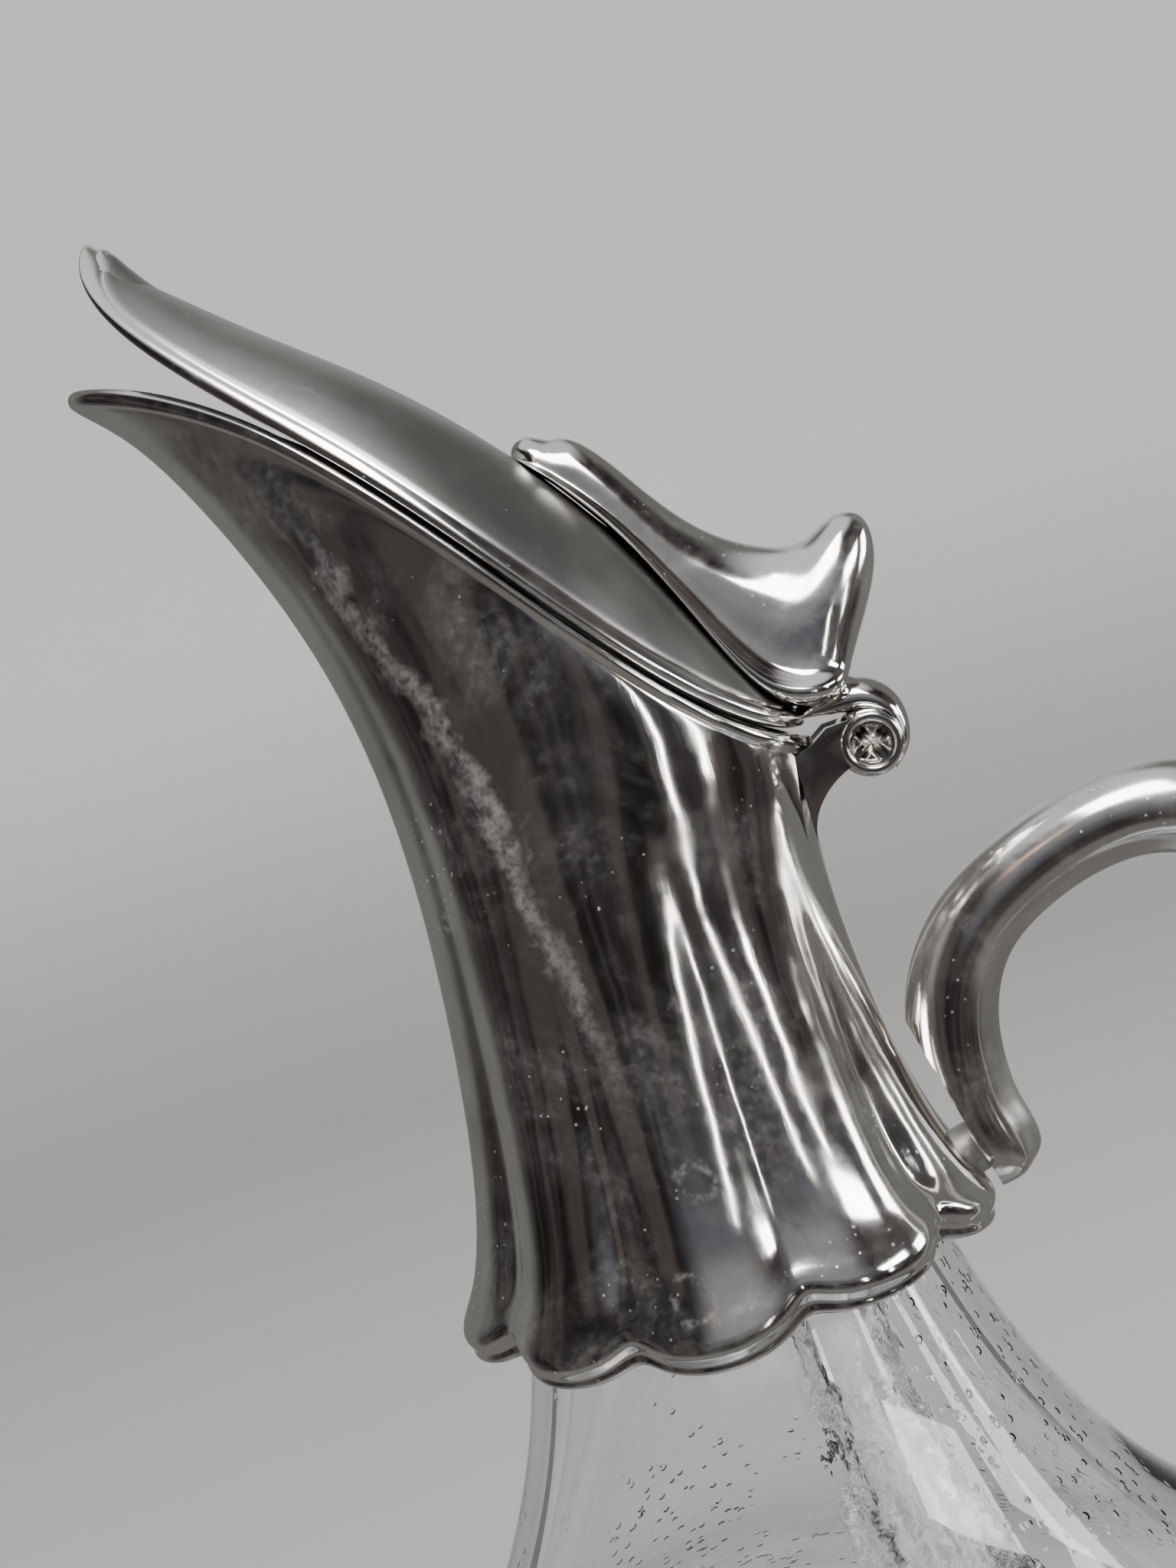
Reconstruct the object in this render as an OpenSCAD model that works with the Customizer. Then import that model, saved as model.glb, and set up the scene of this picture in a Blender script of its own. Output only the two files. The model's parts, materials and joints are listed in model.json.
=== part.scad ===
// Claret jug: a flared glass body, a fluted spout mount bedded on its neck, a hinged lid with a
// thumb-piece, and an arched handle. Millimetres. +Z is up, the spout points along -X, the handle
// along +X, and the hinge runs along Y. The origin is the middle of the foot, on the surface that
// the jug stands on.

/* [Glass body] */
// Height of the glass below the mount
body_h = 113; // [90:1:130]
// Radius of the glass at its widest, near the foot
body_r = 94; // [86:1:110]
// Wall of the glass at its widest
glass_wall = 6; // [3:0.1:8]
// Wall of the glass in the neck
neck_wall = 4.6; // [3:0.1:6]
// Thickness of the glass floor
glass_floor = 11; // [6:0.5:16]
// Radius of the flat ring that the jug stands on
foot_r = 74; // [60:1:80]
// Depth of the hollow under the foot
foot_hollow = 1.6; // [0.5:0.1:3]
// Outer radius of the neck inside the mount
neck_r = 19.5; // [16:0.5:24]
// Height of the neck above the mount's lower edge
neck_h = 41; // [30:1:46]
// Thickness of the plaster between the neck and the mount, at the waist
bedding = 1.7; // [1:0.1:4]

/* [Spout mount] */
// Wall of the mount
mount_wall = 1.6; // [1:0.1:2.4]
// How far the lobes stand out from the waist at the lower edge
collar_flare = 9.6; // [6:0.2:14]
// Number of lobes round the mount
lobes = 10; // [8:2:14]
// Depth of the grooves between the lobes, at the lower edge
groove = 3.2; // [1:0.2:5]
// Rise of the lower edge between two lobes
cusp_rise = 2.8; // [0:0.2:5]
// Height of the rim at the hinge, above the mount's lower edge
rim_back_h = 56; // [50:1:66]
// Distance of the rim at the hinge from the jug's axis
rim_back = 24.2; // [22:0.2:28]
// Height of the spout's tip above the mount's lower edge
spout_h = 115.6; // [100:1:130]
// Reach of the spout's tip in front of the jug's axis
spout_reach = 45.2; // [36:1:52]
// Half width of the rim, between its broad back and narrow front
rim_w = 20; // [17:0.5:23]
// How much narrower the front of the rim is than its back
rim_taper = 0.4; // [0.1:0.05:0.5]

/* [Lid] */
// Wall of the lid
lid_wall = 1.5; // [1:0.1:2.4]
// Space between the closed lid and the rim
lid_gap = 0.45; // [0.3:0.05:1]
// Height of the lid's ridge above its edge
lid_h = 15.6; // [12:0.2:20]
// How far the lid's tip curls up above the spout's tip
beak_lift = 14; // [8:0.2:18]
// How far the lid's tip curls back from the spout's tip
beak_back = 7.5; // [2:0.1:10]

/* [Hinge] */
// Distance of the hinge axis behind the rim
hinge_back = 6.8; // [6:0.1:9]
// Drop of the hinge axis below the rim
hinge_drop = 2; // [1:0.1:4]
// Radius of the screw's shank
pin_r = 1.3; // [1:0.1:1.6]
// Running clearance between the shank and the lid's knuckle, on the radius
pin_play = 0.06; // [0.02:0.01:0.1]
// Radius of the screw's head
head_r = 2.45; // [2:0.05:2.6]
// Height of the screw's head
head_h = 1.2; // [0.8:0.1:1.6]
// Radius of the two ears
ear_r = 3.5; // [3.3:0.1:4]
// Thickness of each ear
ear_t = 3; // [2.4:0.1:4]
// Width of the lid's knuckle
knuckle_w = 9; // [6:0.5:12]
// Side clearance between the knuckle and each ear
knuckle_play = 0.15; // [0.05:0.05:0.4]
// Radius of the knuckle's barrel
barrel_r = 4.2; // [3.8:0.1:4.6]

/* [Thumb-piece] */
// Rise of the thumb-piece's horn above the hinge axis
horn_h = 25.4; // [20:0.2:28]
// Overhang of the horn behind the hinge axis
horn_back = 6; // [2:0.2:8]
// Half width of the thumb-piece at its back corners
horn_w = 7.6; // [5:0.2:9]

/* [Handle] */
// Diameter of the handle
handle_d = 11.3; // [9:0.1:13]
// Reach of the handle's middle line from the jug's axis
handle_reach = 84; // [76:1:86]
// Height of the handle's arch above the mount's lower edge, at its middle line
handle_top = 38; // [33:1:44]
// Depth of the handle's tail below the mount's lower edge, at its middle line
handle_drop = 51; // [40:1:58]
// Space between the lower end of the handle's flat root and the lobes
root_gap = 0.9; // [0.6:0.1:2]
// How much further the upper end of the root stands off
root_lean = 1.6; // [0.5:0.1:2.5]

/* [Hidden] */

silver = "Silver";
satin = "DarkGray";
$fn = 72;
round_fn = 120;

// ---------- smooth curves and surfaces ----------

// Weights of four neighbouring control points, for a uniform cubic B-spline
function weights(t) = [pow(1 - t, 3), 3 * pow(t, 3) - 6 * t * t + 4,
                       -3 * pow(t, 3) + 3 * t * t + 3 * t + 1, pow(t, 3)] / 6;
function blend4(w, a, b, c, d) = w[0] * a + w[1] * b + w[2] * c + w[3] * d;
// Smooth loop along control points that close on themselves, with n steps to each span
function loop_curve(p, n) = let (m = len(p))
    [for (i = [0 : m - 1], k = [0 : n - 1])
        blend4(weights(k / n), p[(i + m - 1) % m], p[i], p[(i + 1) % m], p[(i + 2) % m])];
// Smooth run along control points, which starts at the first and ends at the last
function run_curve(p, n) = let (
        m = len(p),
        q = concat([2 * p[0] - p[1]], p, [2 * p[m - 1] - p[m - 2]]))
    concat([for (i = [0 : m - 2], k = [0 : n - 1])
        blend4(weights(k / n), q[i], q[i + 1], q[i + 2], q[i + 3])], [p[m - 1]]);
function middle(ring) = [for (i = [0 : 2]) [for (p = ring) p[i]] * [for (p = ring) 1] / len(ring)];

// Closed solid whose skin runs through rings of equal length. The rings either close on
// themselves, or the first and last are closed by a fan.
module skin(rings, closes = false) {
    n = len(rings[0]);
    m = len(rings);
    last = closes ? m - 1 : m - 2;
    at = function (i, j) (i % m) * n + j % n;
    sides = [for (i = [0 : last], j = [0 : n - 1], half = [0, 1])
        half == 0 ? [at(i, j), at(i, j + 1), at(i + 1, j + 1)]
                  : [at(i, j), at(i + 1, j + 1), at(i + 1, j)]];
    fans = closes ? [] : [for (j = [0 : n - 1], end = [0, 1])
        end == 0 ? [m * n, at(0, j + 1), at(0, j)] : [m * n + 1, at(m - 1, j), at(m - 1, j + 1)]];
    polyhedron(concat([for (ring = rings) each ring], [middle(rings[0]), middle(rings[m - 1])]),
               concat(sides, fans));
}

// ---------- glass body and its bedding ----------

waist_r = neck_r + bedding + mount_wall;

// Outer line of the glass from the foot to the neck: shares of the way out from the neck to the
// widest part, and shares of the body's height
belly_line = [[0.74, 0], [0.85, 0.004], [0.955, 0.034], [1.0, 0.107], [0.985, 0.195], [0.93, 0.283],
              [0.82, 0.374], [0.675, 0.462], [0.505, 0.553], [0.34, 0.64], [0.232, 0.73], [0.155, 0.822],
              [0.1, 0.91], [0.066, 0.994], [0.03, 1.062], [0.006, 1.12], [0, 1.18]];
function glass_line() = let (shape = [for (p = belly_line)
        [neck_r + (body_r - neck_r) * p[0], body_h * p[1]]])
    run_curve(concat([[foot_r, 0]], [for (i = [1 : len(shape) - 1]) shape[i]],
                     [[neck_r, body_h + neck_h]]), 4);
// The same line moved inwards by the wall, which is thinner towards the neck
function inner_line(line) = let (m = len(line))
    [for (i = [0 : m - 1]) let (along = line[min(i + 1, m - 1)] - line[max(i - 1, 0)],
                                wall = lookup(line[i][1], [[0, glass_wall], [body_h, neck_wall]]))
        line[i] + wall * [-along[1], along[0]] / norm(along)];

module glass_body() {
    outer = glass_line();
    inner = [for (p = inner_line(outer)) if (p[1] > 0) [p[0], max(p[1], glass_floor)]];
    color("LightCyan", 0.35) rotate_extrude($fn = round_fn) difference() {
        polygon(concat([[0, foot_hollow], [foot_r * 0.5, foot_hollow], [foot_r * 0.8, 0]], outer,
                       [[0, body_h + neck_h]]));
        polygon(concat([[0, glass_floor]], inner, [[0, body_h + neck_h + 1]]));
    }
}

// Plaster ring that fills the space between the neck and the mount: where it starts above the
// mount's lower edge, where it ends below the neck's, and its space to the mount's grooves
plaster_low = 9.5;
plaster_short = 2;
plaster_gap = 0.1;
module neck_plaster() {
    line = [for (z = [plaster_low : 2 : neck_h - plaster_short])
        [crest_r(z) - groove * fade_at(z) - mount_wall - plaster_gap, z]];
    color("Ivory") translate([0, 0, body_h]) rotate_extrude($fn = round_fn) difference() {
        polygon(concat([[0, plaster_low]], line, [[0, line[len(line) - 1][1]]]));
        translate([0, -body_h]) polygon(concat([[0, 0]], glass_line(), [[0, body_h + neck_h]]));
    }
}

// ---------- spout mount ----------

// Control rings of the mount from its lower edge to the rim. Each row gives the share of the
// back rim's height, the share of the spout's height, the share of the collar's flare, the share
// of the spout's reach, and the share of the groove's depth at the back and at the front.
mount_rows = [[0.053, 0.026, 1.00, 0.00, 1.00, 1.00],
              [0.114, 0.056, 0.73, 0.00, 0.90, 0.90],
              [0.207, 0.102, 0.51, 0.00, 0.70, 0.70],
              [0.326, 0.167, 0.32, 0.00, 0.53, 0.53],
              [0.458, 0.251, 0.18, 0.00, 0.39, 0.40],
              [0.595, 0.350, 0.075, 0.00, 0.26, 0.30],
              [0.716, 0.458, 0.02, 0.00, 0.14, 0.23],
              [0.811, 0.569, 0.00, 0.04, 0.06, 0.18],
              [0.879, 0.676, 0.00, 0.14, 0.02, 0.13],
              [0.928, 0.774, 0.00, 0.31, 0.00, 0.09],
              [0.964, 0.867, 0.00, 0.53, 0.00, 0.06],
              [0.987, 0.945, 0.00, 0.76, 0.00, 0.03],
              [1.000, 1.000, 0.00, 1.00, 0.00, 0.00]];
rim_row = mount_rows[len(mount_rows) - 1];

// Columns of control points across one lobe, as shares of its width from groove to groove, and
// the lobe's fullness there: 0 in the groove and 1 on the crest
lobe_steps = [0, 0.14, 0.37, 0.63, 0.86];
columns = [for (i = [0 : lobes - 1], u = lobe_steps) [360 * (i + u) / lobes, pow(sin(180 * u), 0.75)]];

// Radius of the lobes' crests, and share of the groove's depth, at a height above the lower edge
function crest_r(z) =
    waist_r + collar_flare * lookup(z, [for (row = mount_rows) [row[0] * rim_back_h, row[2]]]);
function fade_at(z) = lookup(z, [for (row = mount_rows) [row[0] * rim_back_h, row[4]]]);

// How far a ring is drawn out into the spout: 0 below the waist and 1 at the rim
function draw_out(row) = sqrt(row[3]);
// Height of a ring along its way s from the back (0) to the front (1). The rim rises slowly at
// the hinge, steeply at its middle and slowly again at the spout.
function ring_z(row, s) = let (back = rim_back_h * row[0], front = spout_h * row[1])
    back + (front - back) * (s + draw_out(row) * s * (1 - s) * (2.9 * s - 1.55 * s * s - 0.7));
// Half length, middle and half width of a ring that is moved inwards by inset
function ring_back(row) = waist_r + collar_flare * row[2] + (rim_back - waist_r) * draw_out(row);
function ring_front(row) = waist_r + collar_flare * row[2] + (spout_reach - waist_r) * row[3];
function ring_side(row) = waist_r + collar_flare * row[2] + (rim_w - waist_r) * draw_out(row);
// Point of a ring at a column, moved inwards by inset and up by lift. The columns run clockwise as
// seen from above, which turns the skin outwards.
function ring_point(row, column, inset, lift) = let (
        turn = column[0],
        s = (1 - cos(turn)) / 2,
        depth = groove * (row[4] + (row[5] - row[4]) * s),
        pull = inset + depth * (1 - column[1]),
        mid = (ring_back(row) - ring_front(row)) / 2,
        long = (ring_back(row) + ring_front(row)) / 2 - pull,
        wide = (ring_side(row) - pull) * (1 + rim_taper * draw_out(row) * cos(turn)))
    [mid + long * cos(turn), -wide * sin(turn), body_h + ring_z(row, s) + lift];
function mount_ring(row, inset, lift, cusp) =
    [for (column = columns) ring_point(row, column, inset, lift + cusp * pow(1 - column[1], 1.5))];

// How far the rolled rim stands out from the wall, and how high its round top is
rim_out = 0.35;
rim_top = 1.1;
// How far the rolled lower edge hangs below the first ring
lip_low = 3.1;
// How far up the rings the rise of the cusps still shows
function cusp_share(i) = cusp_rise * max(0, 1 - i / 2);

module spout_mount() {
    rows = mount_rows;
    top = len(rows) - 1;
    outer = [for (i = [0 : top]) mount_ring(rows[i], 0, 0, cusp_share(i))];
    rim = [mount_ring(rim_row, -rim_out, rim_top * 0.65, 0),
           mount_ring(rim_row, mount_wall * 0.5, rim_top, 0),
           mount_ring(rim_row, mount_wall * 1.1, rim_top * 0.45, 0)];
    inner = [for (i = [top : -1 : 0]) mount_ring(rows[i], mount_wall, i == top ? -1 : 0, cusp_share(i))];
    lip = [mount_ring(rows[0], mount_wall * 1.1, -lip_low * 0.7, cusp_rise),
           mount_ring(rows[0], mount_wall * 0.6, -lip_low, cusp_rise),
           mount_ring(rows[0], -0.1, -lip_low * 0.77, cusp_rise)];
    control = [for (ring = concat(outer, rim, inner, lip)) loop_curve(ring, 2)];
    // two steps to each span on the outside, one on the inside
    m = len(control);
    at = function (i) control[(i + m) % m];
    spans = [for (i = [0 : m - 1]) [i, i <= top || i > top + 3 + top ? 2 : 1]];
    rings = [for (span = spans, k = [0 : span[1] - 1])
        blend4(weights(k / span[1]), at(span[0] - 1), at(span[0]), at(span[0] + 1), at(span[0] + 2))];
    color(silver) skin(rings, true);
}

// ---------- hinge ----------

hinge_x = rim_back + hinge_back;
hinge_z = body_h + rim_back_h - hinge_drop;
ear_in = knuckle_w / 2 + knuckle_play;
ear_out = ear_in + ear_t;
// Clearances round the screw's head, and round its shank in the ears
head_play = 0.1;
hole_play = 0.02;
// Depth of the screw's head below the near ear's face, and of the nut's face below the far ear's
head_sunk = 0.5;
nut_sunk = 0.1;
// Space round the knuckle's barrel
knuckle_room = 0.8;
// How far the tops of the bracket's arms stand above the rim, and their ends at the wall below it
arm_rise = 0.9;
arm_low = 1.6;

// Cylinder along the hinge axis between two places on it
module along_hinge(r, from, to) {
    translate([hinge_x, to, hinge_z]) rotate([90, 0, 0]) cylinder(r = r, h = to - from, $fn = 48);
}
// Flat outline in the jug's upright plane, measured from the hinge axis, as a plate between two
// places on the axis
module hinge_plate(from, to) {
    translate([hinge_x, to, hinge_z]) rotate([90, 0, 0]) linear_extrude(to - from) children();
}

// Two ears on a curved bracket that is soldered to the back of the mount
module hinge_bracket() {
    wall_x = rim_back - hinge_x;
    foot_z = -0.18 * rim_back_h;
    low_edge = run_curve([[wall_x - 2, foot_z], [wall_x - 1.6, foot_z + 2.8], [wall_x - 0.6, foot_z + 5],
                          [wall_x + 1.7, foot_z + 7.2], [-ear_r * 0.84, -ear_r * 0.55]], 4);
    arm = concat(low_edge, [[0, 0], [-ear_r * 0.3, ear_r * 0.9], [wall_x * 0.66, hinge_drop + arm_rise],
                            [wall_x + 0.4, hinge_drop - arm_low / 4], [wall_x - 3, hinge_drop - arm_low]]);
    color(silver) difference() {
        union() {
            hinge_plate(-ear_out, ear_out) polygon(arm);
            along_hinge(ear_r, -ear_out, ear_out);
        }
        // space for the knuckle between the ears, and above them for its strap
        along_hinge(barrel_r + knuckle_room, -ear_in, ear_in);
        hinge_plate(-ear_in, ear_in) translate([-barrel_r - knuckle_room, -0.6])
            square([3 * barrel_r, 2 * barrel_r]);
        hinge_plate(-ear_in, ear_in) translate([wall_x - 3, hinge_drop - arm_low])
            square([3 - wall_x, 2 * barrel_r]);
        // the mount's wall
        translate([0, 0, body_h])
            cylinder(r = (waist_r + rim_back) / 2 + 0.15, h = rim_back_h, $fn = round_fn);
        // the shank's hole, and the seats of the head and the nut
        along_hinge(pin_r + hole_play, -ear_out - 1, ear_out + 1);
        along_hinge(head_r + head_play, -ear_out - 1, -ear_out + head_h + head_sunk);
        along_hinge(head_r + head_play, ear_out - head_h - nut_sunk, ear_out + 1);
    }
}

// Cross-slotted screw that the lid turns on: its slots' width, depth and turn from level, and how
// far the shank ends below the far ear's face
slot_w = 0.75;
slot_deep = 0.7;
slot_turn = 60;
shank_short = 0.4;
module hinge_screw() {
    seat = -ear_out + head_h + head_sunk;
    color("Wheat") difference() {
        union() {
            along_hinge(head_r, seat - head_h, seat);
            along_hinge(pin_r, seat - 0.1, ear_out - shank_short);
        }
        for (turn = [slot_turn, slot_turn + 90])
            translate([hinge_x, seat - head_h, hinge_z]) rotate([0, turn, 0])
                cube([head_r * 1.45, 2 * slot_deep, slot_w], center = true);
    }
}

// Round nut that is recessed in the far ear
module hinge_nut() {
    color(silver) difference() {
        along_hinge(head_r, ear_out - head_h - nut_sunk, ear_out - nut_sunk);
        along_hinge(pin_r + hole_play / 2, ear_out - head_h - 1, ear_out - shank_short + hole_play);
    }
}

// ---------- lid ----------

// How far the lid stands out beyond the rim's ring
lid_over = 0.5;
// Height of the polished band round the lid's edge
band_h = 1.6;
// Where the tip starts to leave the spout's rim, as a share of the lid's length
curl_start = 0.62;
// Place beneath the thumb-piece where the lid's rings meet, measured from the jug's axis
crown_x = 8;
// Height of the lid's ridge along its length, as shares of lid_h: it stands up steeply at the
// hinge and falls away towards the tip
ridge_line = [[0, 0], [0.045, 0.22], [0.088, 0.42], [0.124, 0.61], [0.164, 0.79], [0.209, 0.92],
              [0.257, 0.98], [0.302, 1], [0.345, 1], [0.404, 0.965], [0.492, 0.87], [0.606, 0.735],
              [0.732, 0.59], [0.814, 0.445], [0.9, 0.22], [0.96, 0.09], [1, 0]];

// Point of the lid at a turn round its edge and a share t of the way out from the crown. The lid
// has the rim's outline, moved outwards by over, and its arch is lowered by sink.
function lid_point(turn, t, over, lift, sink) = let (
        mid = (rim_back - spout_reach) / 2,
        long = (rim_back + spout_reach) / 2 + over,
        wide = rim_w + over,
        x = crown_x + (mid + long * cos(turn) - crown_x) * t,
        y = wide * sin(turn) * (1 + rim_taper * cos(turn)) * t,
        s = min(1, max(0, (mid + long - x) / (2 * long))),
        half = max(0.01, wide * sqrt(max(0, 1 - pow(1 - 2 * s, 2))) * (1 + rim_taper * (1 - 2 * s))),
        arch = pow(max(0, 1 - pow(y / half, 2)), 0.75),
        curl = max(0, (s - curl_start) / (1 - curl_start)))
    [x + beak_back * pow(curl, 6 - 4.3 * arch), y,
     body_h + ring_z(rim_row, s) + lift + beak_lift * pow(curl, 2.1)
         + max(0, lid_h - sink) * lookup(s, ridge_line) * arch];
function lid_ring(t, over, lift, sink = 0) =
    [for (turn = [0 : 9 : 351]) lid_point(turn, t, over, lift, sink)];

module lid_shell() {
    seat = rim_top + lid_gap;
    outer = [for (t = [0.1, 0.25, 0.4, 0.55, 0.7, 0.82, 0.91, 0.97])
        lid_ring(t, lid_over, seat + band_h - 0.2)];
    edge = [lid_ring(1, lid_over + 0.15, seat + band_h), lid_ring(1, lid_over + 0.35, seat + band_h / 2),
            lid_ring(1, lid_over + 0.05, seat), lid_ring(1, lid_over - lid_wall * 0.6, seat),
            lid_ring(1, lid_over - lid_wall, seat + 0.5)];
    inner = [for (t = [0.95, 0.85, 0.7, 0.5, 0.3, 0.1])
        lid_ring(t, lid_over - lid_wall, seat + 0.6, lid_wall * 1.1)];
    color(satin) skin(run_curve([for (ring = concat(outer, edge, inner)) loop_curve(ring, 2)], 1));
}

// ---------- knuckle and thumb-piece ----------

// Scroll outline of the knuckle, as turns about the axis and distances from it
scroll = [[148, 9.3], [136, 8.7], [120, 8.3], [98, 7.8], [75, 7.2], [50, 6.5], [25, 5.5], [0, 4.9],
          [-25, 4.6], [-50, barrel_r]];

// Underside of the strap that runs from the knuckle over the rim to the lid
strap_under = [[0, 0], [1.3 - hinge_back, hinge_drop - 0.1], [0.9 - hinge_back, hinge_drop + 1.1],
               [0.2 - hinge_back, hinge_drop + 1.75], [-1.8 - hinge_back, hinge_drop + 1.95]];

module lid_knuckle() {
    back = run_curve([for (p = scroll) p[1] * [cos(p[0]), sin(p[0])]], 3);
    color(silver) difference() {
        union() {
            hinge_plate(-knuckle_w / 2, knuckle_w / 2) polygon(concat(strap_under, back));
            along_hinge(barrel_r, -knuckle_w / 2, knuckle_w / 2);
        }
        along_hinge(pin_r + pin_play, -knuckle_w, knuckle_w);
    }
}

// Slices of the thumb-piece from its front point, over the lid, to its back. Each has its foot on
// the lid and its top, measured from the hinge axis for the stated overhang and rise of the horn,
// and its half width as a share of horn_w.
thumb_rise = 25.4;
thumb_overhang = 6;
thumb_foot = [[-29.8, 41.4], [-29, 40.7], [-27.4, 39.2], [-25.8, 37.5], [-24.2, 35.6], [-21.6, 32.2], [-18.6, 27.2],
              [-15.2, 20.4], [-12.2, 14.2], [-9.6, 10], [-6.6, 7.9], [-3.6, 7.5], [-1.2, 7.6], [0, 8.2], [0.3, 8.8]];
thumb_top = [[-29.9, 42], [-29.5, 43], [-27.6, 43.7], [-25.4, 42], [-23.4, 42.4], [-20, 39], [-15.6, 32.2],
             [-11, 27], [-5.6, 24], [-1.6, 23], [1, 24.5], [3.5, 25.8], [6.7, 24.7], [6.5, 19.4], [3.9, 14.4]];
thumb_wide = [0.14, 0.32, 0.45, 0.46, 0.5, 0.58, 0.7, 0.83, 0.95, 1.02, 1.04, 1, 0.84, 0.52, 0.2];
// The slices whose tops lie behind here rise with the horn
horn_from = -15;
// Closed outline of one slice, as shares of its half width and of its height: flat below, with a
// thin leaf's edge at each side and domed above
slice_line = [[-1.4, -0.1], [-1.38, 0.02], [-1.14, 0.06], [-1.04, 0.18], [-0.98, 0.38], [-0.86, 0.6], [-0.64, 0.79],
              [-0.39, 0.93], [-0.14, 1], [0.14, 1], [0.39, 0.93], [0.64, 0.79], [0.86, 0.6], [0.98, 0.38], [1.04, 0.18],
              [1.14, 0.06], [1.38, 0.02], [1.4, -0.1], [0.5, -0.12], [-0.5, -0.12]];

module thumb_piece() {
    stretch = [horn_back / thumb_overhang, horn_h / thumb_rise];
    rings = [for (i = [0 : len(thumb_foot) - 1]) let (
            foot = thumb_foot[i],
            top = [thumb_top[i][0] * (thumb_top[i][0] > 0 ? stretch[0] : 1),
                   foot[1] + (thumb_top[i][1] - foot[1]) * (thumb_top[i][0] > horn_from ? stretch[1] : 1)])
        [for (p = slice_line) [hinge_x + foot[0] + (top[0] - foot[0]) * p[1], p[0] * horn_w * thumb_wide[i],
                               hinge_z + foot[1] + (top[1] - foot[1]) * p[1]]]];
    color(silver) skin(run_curve([for (ring = rings) loop_curve(ring, 2)], 2));
}

// ---------- handle ----------

// The flat root leans against the lobes: its face runs from near their ends to below the waist
root_low = 3;
root_high = 23;
lobe_share = cos(180 / lobes);
root_face = [[crest_r(root_low) * lobe_share + root_gap, root_low],
             [crest_r(root_high) * lobe_share + root_gap + root_lean, root_high]];
face_lean = atan2(root_face[0][0] - root_face[1][0], root_high - root_low);
// How deep the flat is filed into the handle
root_filed = 0.8;
file_w = 3.5 * handle_d;
file_l = 3 * root_high;
root_x = root_face[1][0] + handle_d / 2 - root_filed;

// Middle line of the handle from its root to its tail, as shares of its reach from the root and
// heights above the mount's lower edge; the arch and the tail follow their own sizes
arch_foot = 23;
arch_top = 38;
tail_low = -51;
function handle_point(share, height) = [root_x + (handle_reach - root_x) * share,
    height > arch_foot ? arch_foot + (handle_top - arch_foot) * (height - arch_foot) / (arch_top - arch_foot)
                       : height < 0 ? height / tail_low * -handle_drop : height];
handle_line = [for (p = [[0.06, 2.2], [0.054, 3], [0.038, 5], [0.02, 8], [0.004, 11], [0, 17], [0.018, 22.5],
                         [0.06, 27.4], [0.125, 31.3], [0.217, 34.2], [0.318, 36.5], [0.431, 38], [0.547, 38.1],
                         [0.69, 35.2], [0.83, 28.2], [0.93, 17.8], [0.985, 5], [1, -7], [0.975, -19],
                         [0.925, -31], [0.865, -41], [0.84, -48], [0.875, -53], [0.95, -55]])
                   handle_point(p[0], p[1])];
// Thickness along the middle line, as shares of the handle's diameter
handle_size = [0.42, 0.8, 0.97, 1, 1, 1, 1, 0.98, 0.94, 0.91, 0.91, 0.94, 1, 1.02, 1.02, 1, 1, 1, 0.98, 0.93,
               0.85, 0.74, 0.6, 0.42];
// Section of the handle, towards the inside of its arch and along Y, as shares of its radius:
// round outside, with two slightly hollow faces inside
handle_section = [[0.98, 0], [0.72, 0.36], [0.5, 0.72], [0.3, 1], [-0.12, 1.06], [-0.62, 0.86],
                  [-0.96, 0.46], [-1.06, 0], [-0.96, -0.46], [-0.62, -0.86], [-0.12, -1.06], [0.3, -1],
                  [0.5, -0.72], [0.72, -0.36]];

module handle() {
    m = len(handle_line);
    rings = [for (i = [0 : m - 1]) let (
            along = handle_line[min(i + 1, m - 1)] - handle_line[max(i - 1, 0)],
            inward = [along[1], -along[0]] / norm(along),
            r = handle_d / 2 * handle_size[i])
        [for (p = handle_section) [handle_line[i][0] + inward[0] * p[0] * r, -p[1] * r,
                                   body_h + handle_line[i][1] + inward[1] * p[0] * r]]];
    color(silver) difference() {
        skin(run_curve([for (ring = rings) loop_curve(ring, 2)], 2));
        // the flat that is filed on the root
        translate([root_face[1][0], 0, body_h + root_high]) rotate([0, -face_lean, 0])
            translate([-file_w, -file_w / 2, -file_l]) cube([file_w, file_w, file_l + pad_rim]);
    }
}

// Solder that joins the root to the groove between the two back lobes
pad_r = 3;
pad_rim = 0.2;
pad_sunk = 0.62;
module handle_solder_pad() {
    z = root_low + pad_r + 2 * pad_rim;
    face = root_face[0][0] - (z - root_low) * tan(face_lean);
    long = face - (crest_r(z) - groove * fade_at(z) * pad_sunk);
    color(silver) translate([face - 0.02, 0, body_h + z]) rotate([0, -90 - face_lean, 0])
        cylinder(r = pad_r, h = long);
}

glass_body();
neck_plaster();
spout_mount();
hinge_bracket();
hinge_screw();
hinge_nut();
lid_shell();
thumb_piece();
lid_knuckle();
handle();
handle_solder_pad();
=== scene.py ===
"""Claret jug: glass body, fluted spout mount, hinged lid with a thumb-piece, and an arched handle."""

import json
from math import atan2, cos, pi, radians, sin, sqrt, tau

import bpy
from bpy.props import FloatProperty, FloatVectorProperty, IntProperty, PointerProperty
from mathutils import Matrix, Vector

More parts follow.
